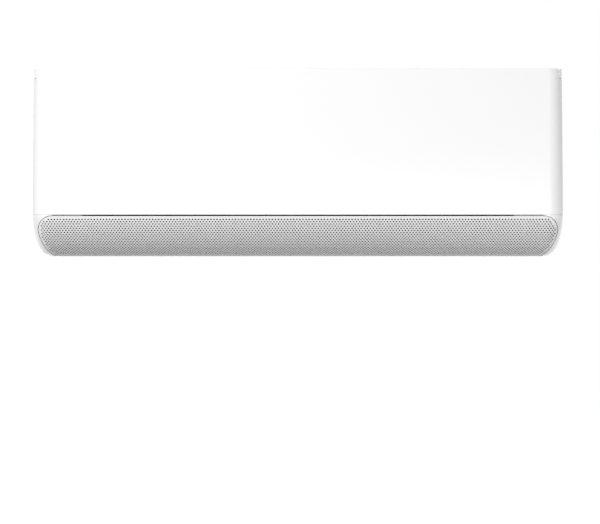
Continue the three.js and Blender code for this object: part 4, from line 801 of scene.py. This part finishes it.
def coilBlock(start, end):
    # thin fins side by side, and the straight runs of the tubes through them
    v = coil
    run, rise = end[0] - start[0], end[1] - start[1]
    length, width = math.hypot(run, rise), v["right"] - v["left"]
    centre = Matrix.Translation((0, -(start[0] + end[0]) / 2, (start[1] + end[1]) / 2))
    turn = centre @ Matrix.Rotation(math.atan2(run, rise), 4, "X")
    bm = bmesh.new()
    count = int(width / v["pitch"])
    fin = Matrix.Diagonal((v["fin"], v["thickness"], length, 1))
    for i in range(count + 1):
        x = v["left"] + v["fin"] + i * (width - 2 * v["fin"]) / count
        bmesh.ops.create_cube(bm, size=1, matrix=turn @ Matrix.Translation((x, 0, 0)) @ fin)
    rows = int(length / v["tubeGap"])
    middle = (v["left"] + v["right"]) / 2
    alongX = Matrix.Rotation(math.pi / 2, 4, "Y")
    for i in range(rows):
        for side in (-1, 1):
            along = (i - (rows - 1) / 2 + side * v["stagger"]) * v["tubeGap"]
            place = Matrix.Translation((middle, side * v["rowOffset"], along))
            bmesh.ops.create_cone(
                bm, cap_ends=True, segments=v["tubeSides"], radius1=v["tube"], radius2=v["tube"],
                depth=width - v["tubeSpare"], matrix=turn @ place @ alongX)
    return newPiece("coil", bm)


for name, (start, end) in coil["slabs"].items():
    finishPiece(coilBlock(start, end), name + "_fins", "unit", "coil_fins", name)

# an air filter: a frame with bars across, one spine along, and a net of fine threads
net = {
    "inner": 0.0015, "outer": 0.3955, "rear": 0.017, "front": 0.167, "bottom": 0.1447, "top": 0.1472,
    "frame": 0.007, "bar": 0.003, "bars": 3, "barInset": 0.001, "barSink": 0.0002, "spineSink": 0.0003,
    "wire": 0.0004, "pitch": 0.0028, "crossDown": 0.8, "crossUp": 0.2,
}


def boxInto(bm, x0, x1, d0, d1, z0, z1):
    centre = ((x0 + x1) / 2, -(d0 + d1) / 2, (z0 + z1) / 2)
    size = Matrix.Diagonal((x1 - x0, d1 - d0, z1 - z0, 1))
    bmesh.ops.create_cube(bm, size=1, matrix=Matrix.Translation(centre) @ size)


def airFilter(side):
    v = net
    x0, x1 = sided(side, v["inner"], v["outer"])
    rear, front, low, high = v["rear"], v["front"], v["bottom"], v["top"]
    edge, wireHalf = v["frame"], v["wire"] / 2
    piece = combine(block(x0, x1, rear, front, low, high), "DIFFERENCE",
                    block(x0 + edge, x1 - edge, rear + edge, front - edge, 0, far))
    bm = bmesh.new()
    bm.from_mesh(piece.data)
    bpy.data.objects.remove(piece)
    inset, sink = v["barInset"], v["barSink"]
    for i in range(v["bars"]):
        x = x0 + (x1 - x0) / (v["bars"] + 1) * (i + 1)
        boxInto(bm, *spread(x, v["bar"] / 2), rear + inset, front - inset, low + sink, high - sink)
    spine = spread((rear + front) / 2, v["bar"] / 2)
    boxInto(bm, x0 + inset, x1 - inset, *spine, low + v["spineSink"], high - v["spineSink"])
    middle = (low + high) / 2
    across = int((x1 - x0 - 2 * edge) / v["pitch"])
    for i in range(1, across):
        x = x0 + edge + i * (x1 - x0 - 2 * edge) / across
        boxInto(bm, *spread(x, wireHalf), rear + edge / 2, front - edge / 2, middle, middle + v["wire"])
    along = int((front - rear - 2 * edge) / v["pitch"])
    for i in range(1, along):
        d = rear + edge + i * (front - rear - 2 * edge) / along
        boxInto(bm, x0 + edge / 2, x1 - edge / 2, *spread(d, wireHalf),
                middle - v["wire"] * v["crossDown"], middle + v["wire"] * v["crossUp"])
    return newPiece("filter", bm)


for name, side in (("filter_left", -1), ("filter_right", 1)):
    finishPiece(airFilter(side), name + "_net", name, "filter", name)

# the frame's own pieces that still show take the new finishes
refinished = 0
for row in frame["record"]["subparts"]:
    node = frame["nodes"][row["node"]]
    if node.hide_render:
        continue
    for socket in node.material_slots:
        socket.material = materials[row["material_slot"]]
    refinished += 1
print("frame pieces given new finishes:", refinished)

shot = {"distance": 3.2, "mmPerPixel": 1.563, "x": 0.0032, "z": -0.1569, "width": 600, "sensor": 36}


def makeCamera():
    data = bpy.data.cameras.new("camera")
    camera = bpy.data.objects.new("camera", data)
    bpy.context.scene.collection.objects.link(camera)
    data.sensor_width = shot["sensor"]
    data.lens = shot["sensor"] * shot["distance"] / (shot["width"] * shot["mmPerPixel"] / 1000)
    camera.location = (shot["x"], -slotDepth - shot["distance"], shot["z"])
    camera.rotation_euler = (math.pi / 2, 0, 0)
    bpy.context.scene.camera = camera


# each lamp has its place, size, power and the point it looks at
studio = {
    "sky": 0.5, "floorSize": 12, "floorHeight": -1.3, "floorColor": 0.36, "floorGlow": 0.95,
    "floorRoughness": 0.9,
    "lamps": {
        "key": ((-1.6, -2.4, 1.0), (1.4, 1.4), 46, (0, -0.1, 0)),
        "fill": ((0.7, -3.0, -0.3), (2.0, 1.2), 25.5, (0, -0.1, 0)),
        "lowLeft": ((-0.75, -0.5, -0.35), (0.25, 0.25), 0.12, (-0.41, -0.17, -0.13)),
        "lowRight": ((0.75, -0.5, -0.35), (0.25, 0.25), 0.3, (0.41, -0.17, -0.13)),
    },
}
white = (1, 1, 1, 1)


def areaLight(name, place, size, power, aim):
    data = bpy.data.lights.new(name, "AREA")
    data.shape = "RECTANGLE"
    data.size, data.size_y = size
    data.energy = power
    lamp = bpy.data.objects.new(name, data)
    lamp.location = place
    lamp.rotation_euler = (Vector(aim) - Vector(place)).to_track_quat("-Z", "Y").to_euler()
    bpy.context.scene.collection.objects.link(lamp)


def seenByViewer(tree):
    # 1 for what the camera sees, itself or in a mirror or through glass, and 0 for the light on the object
    path = addNode(tree, "LightPath")
    total = path, "Is Camera Ray"
    for ray in ("Is Glossy Ray", "Is Transmission Ray"):
        pick = mathNode(tree, "MAXIMUM")
        wire(tree, (*total, pick, 0), (path, ray, pick, 1))
        total = pick, 0
    return total[0]


def floorMaterial():
    # it keeps a soft shadow, and its own glow makes it white where the camera or a mirror sees it
    tone = studio["floorColor"]
    material, tree, shader = newMaterial("floor_white", {
        "Base Color": (tone, tone, tone, 1), "Roughness": studio["floorRoughness"], "Emission Color": white})
    glow = mathNode(tree, "MULTIPLY", {1: studio["floorGlow"]})
    wire(tree, (seenByViewer(tree), 0, glow, 0), (glow, 0, shader, "Emission Strength"))
    return material


def makeFloor():
    bm = bmesh.new()
    bmesh.ops.create_grid(bm, x_segments=1, y_segments=1, size=studio["floorSize"])
    bmesh.ops.translate(bm, vec=(0, 0, studio["floorHeight"]), verts=bm.verts)
    floor = newPiece("floor", bm)
    floor.data.materials.append(floorMaterial())


def makeWorld():
    # soft light on the object, and plain white where the camera or a mirror sees the sky
    world = bpy.data.worlds.new("studio")
    bpy.context.scene.world = world
    world.use_nodes = True
    tree = world.node_tree
    light = tree.nodes["Background"]
    setValues(light, {"Color": white, "Strength": studio["sky"]})
    backdrop = addNode(tree, "Background", {"Color": white})
    mix = addNode(tree, "MixShader")
    wire(tree, (seenByViewer(tree), 0, mix, 0), (light, 0, mix, 1), (backdrop, 0, mix, 2),
         (mix, 0, tree.nodes["World Output"], "Surface"))


makeCamera()
makeFloor()
makeWorld()
for name, lamp in studio["lamps"].items():
    areaLight(name, *lamp)
bpy.context.scene.view_settings.view_transform = "Standard"
print("studio ready:", len(studio["lamps"]), "lamps")
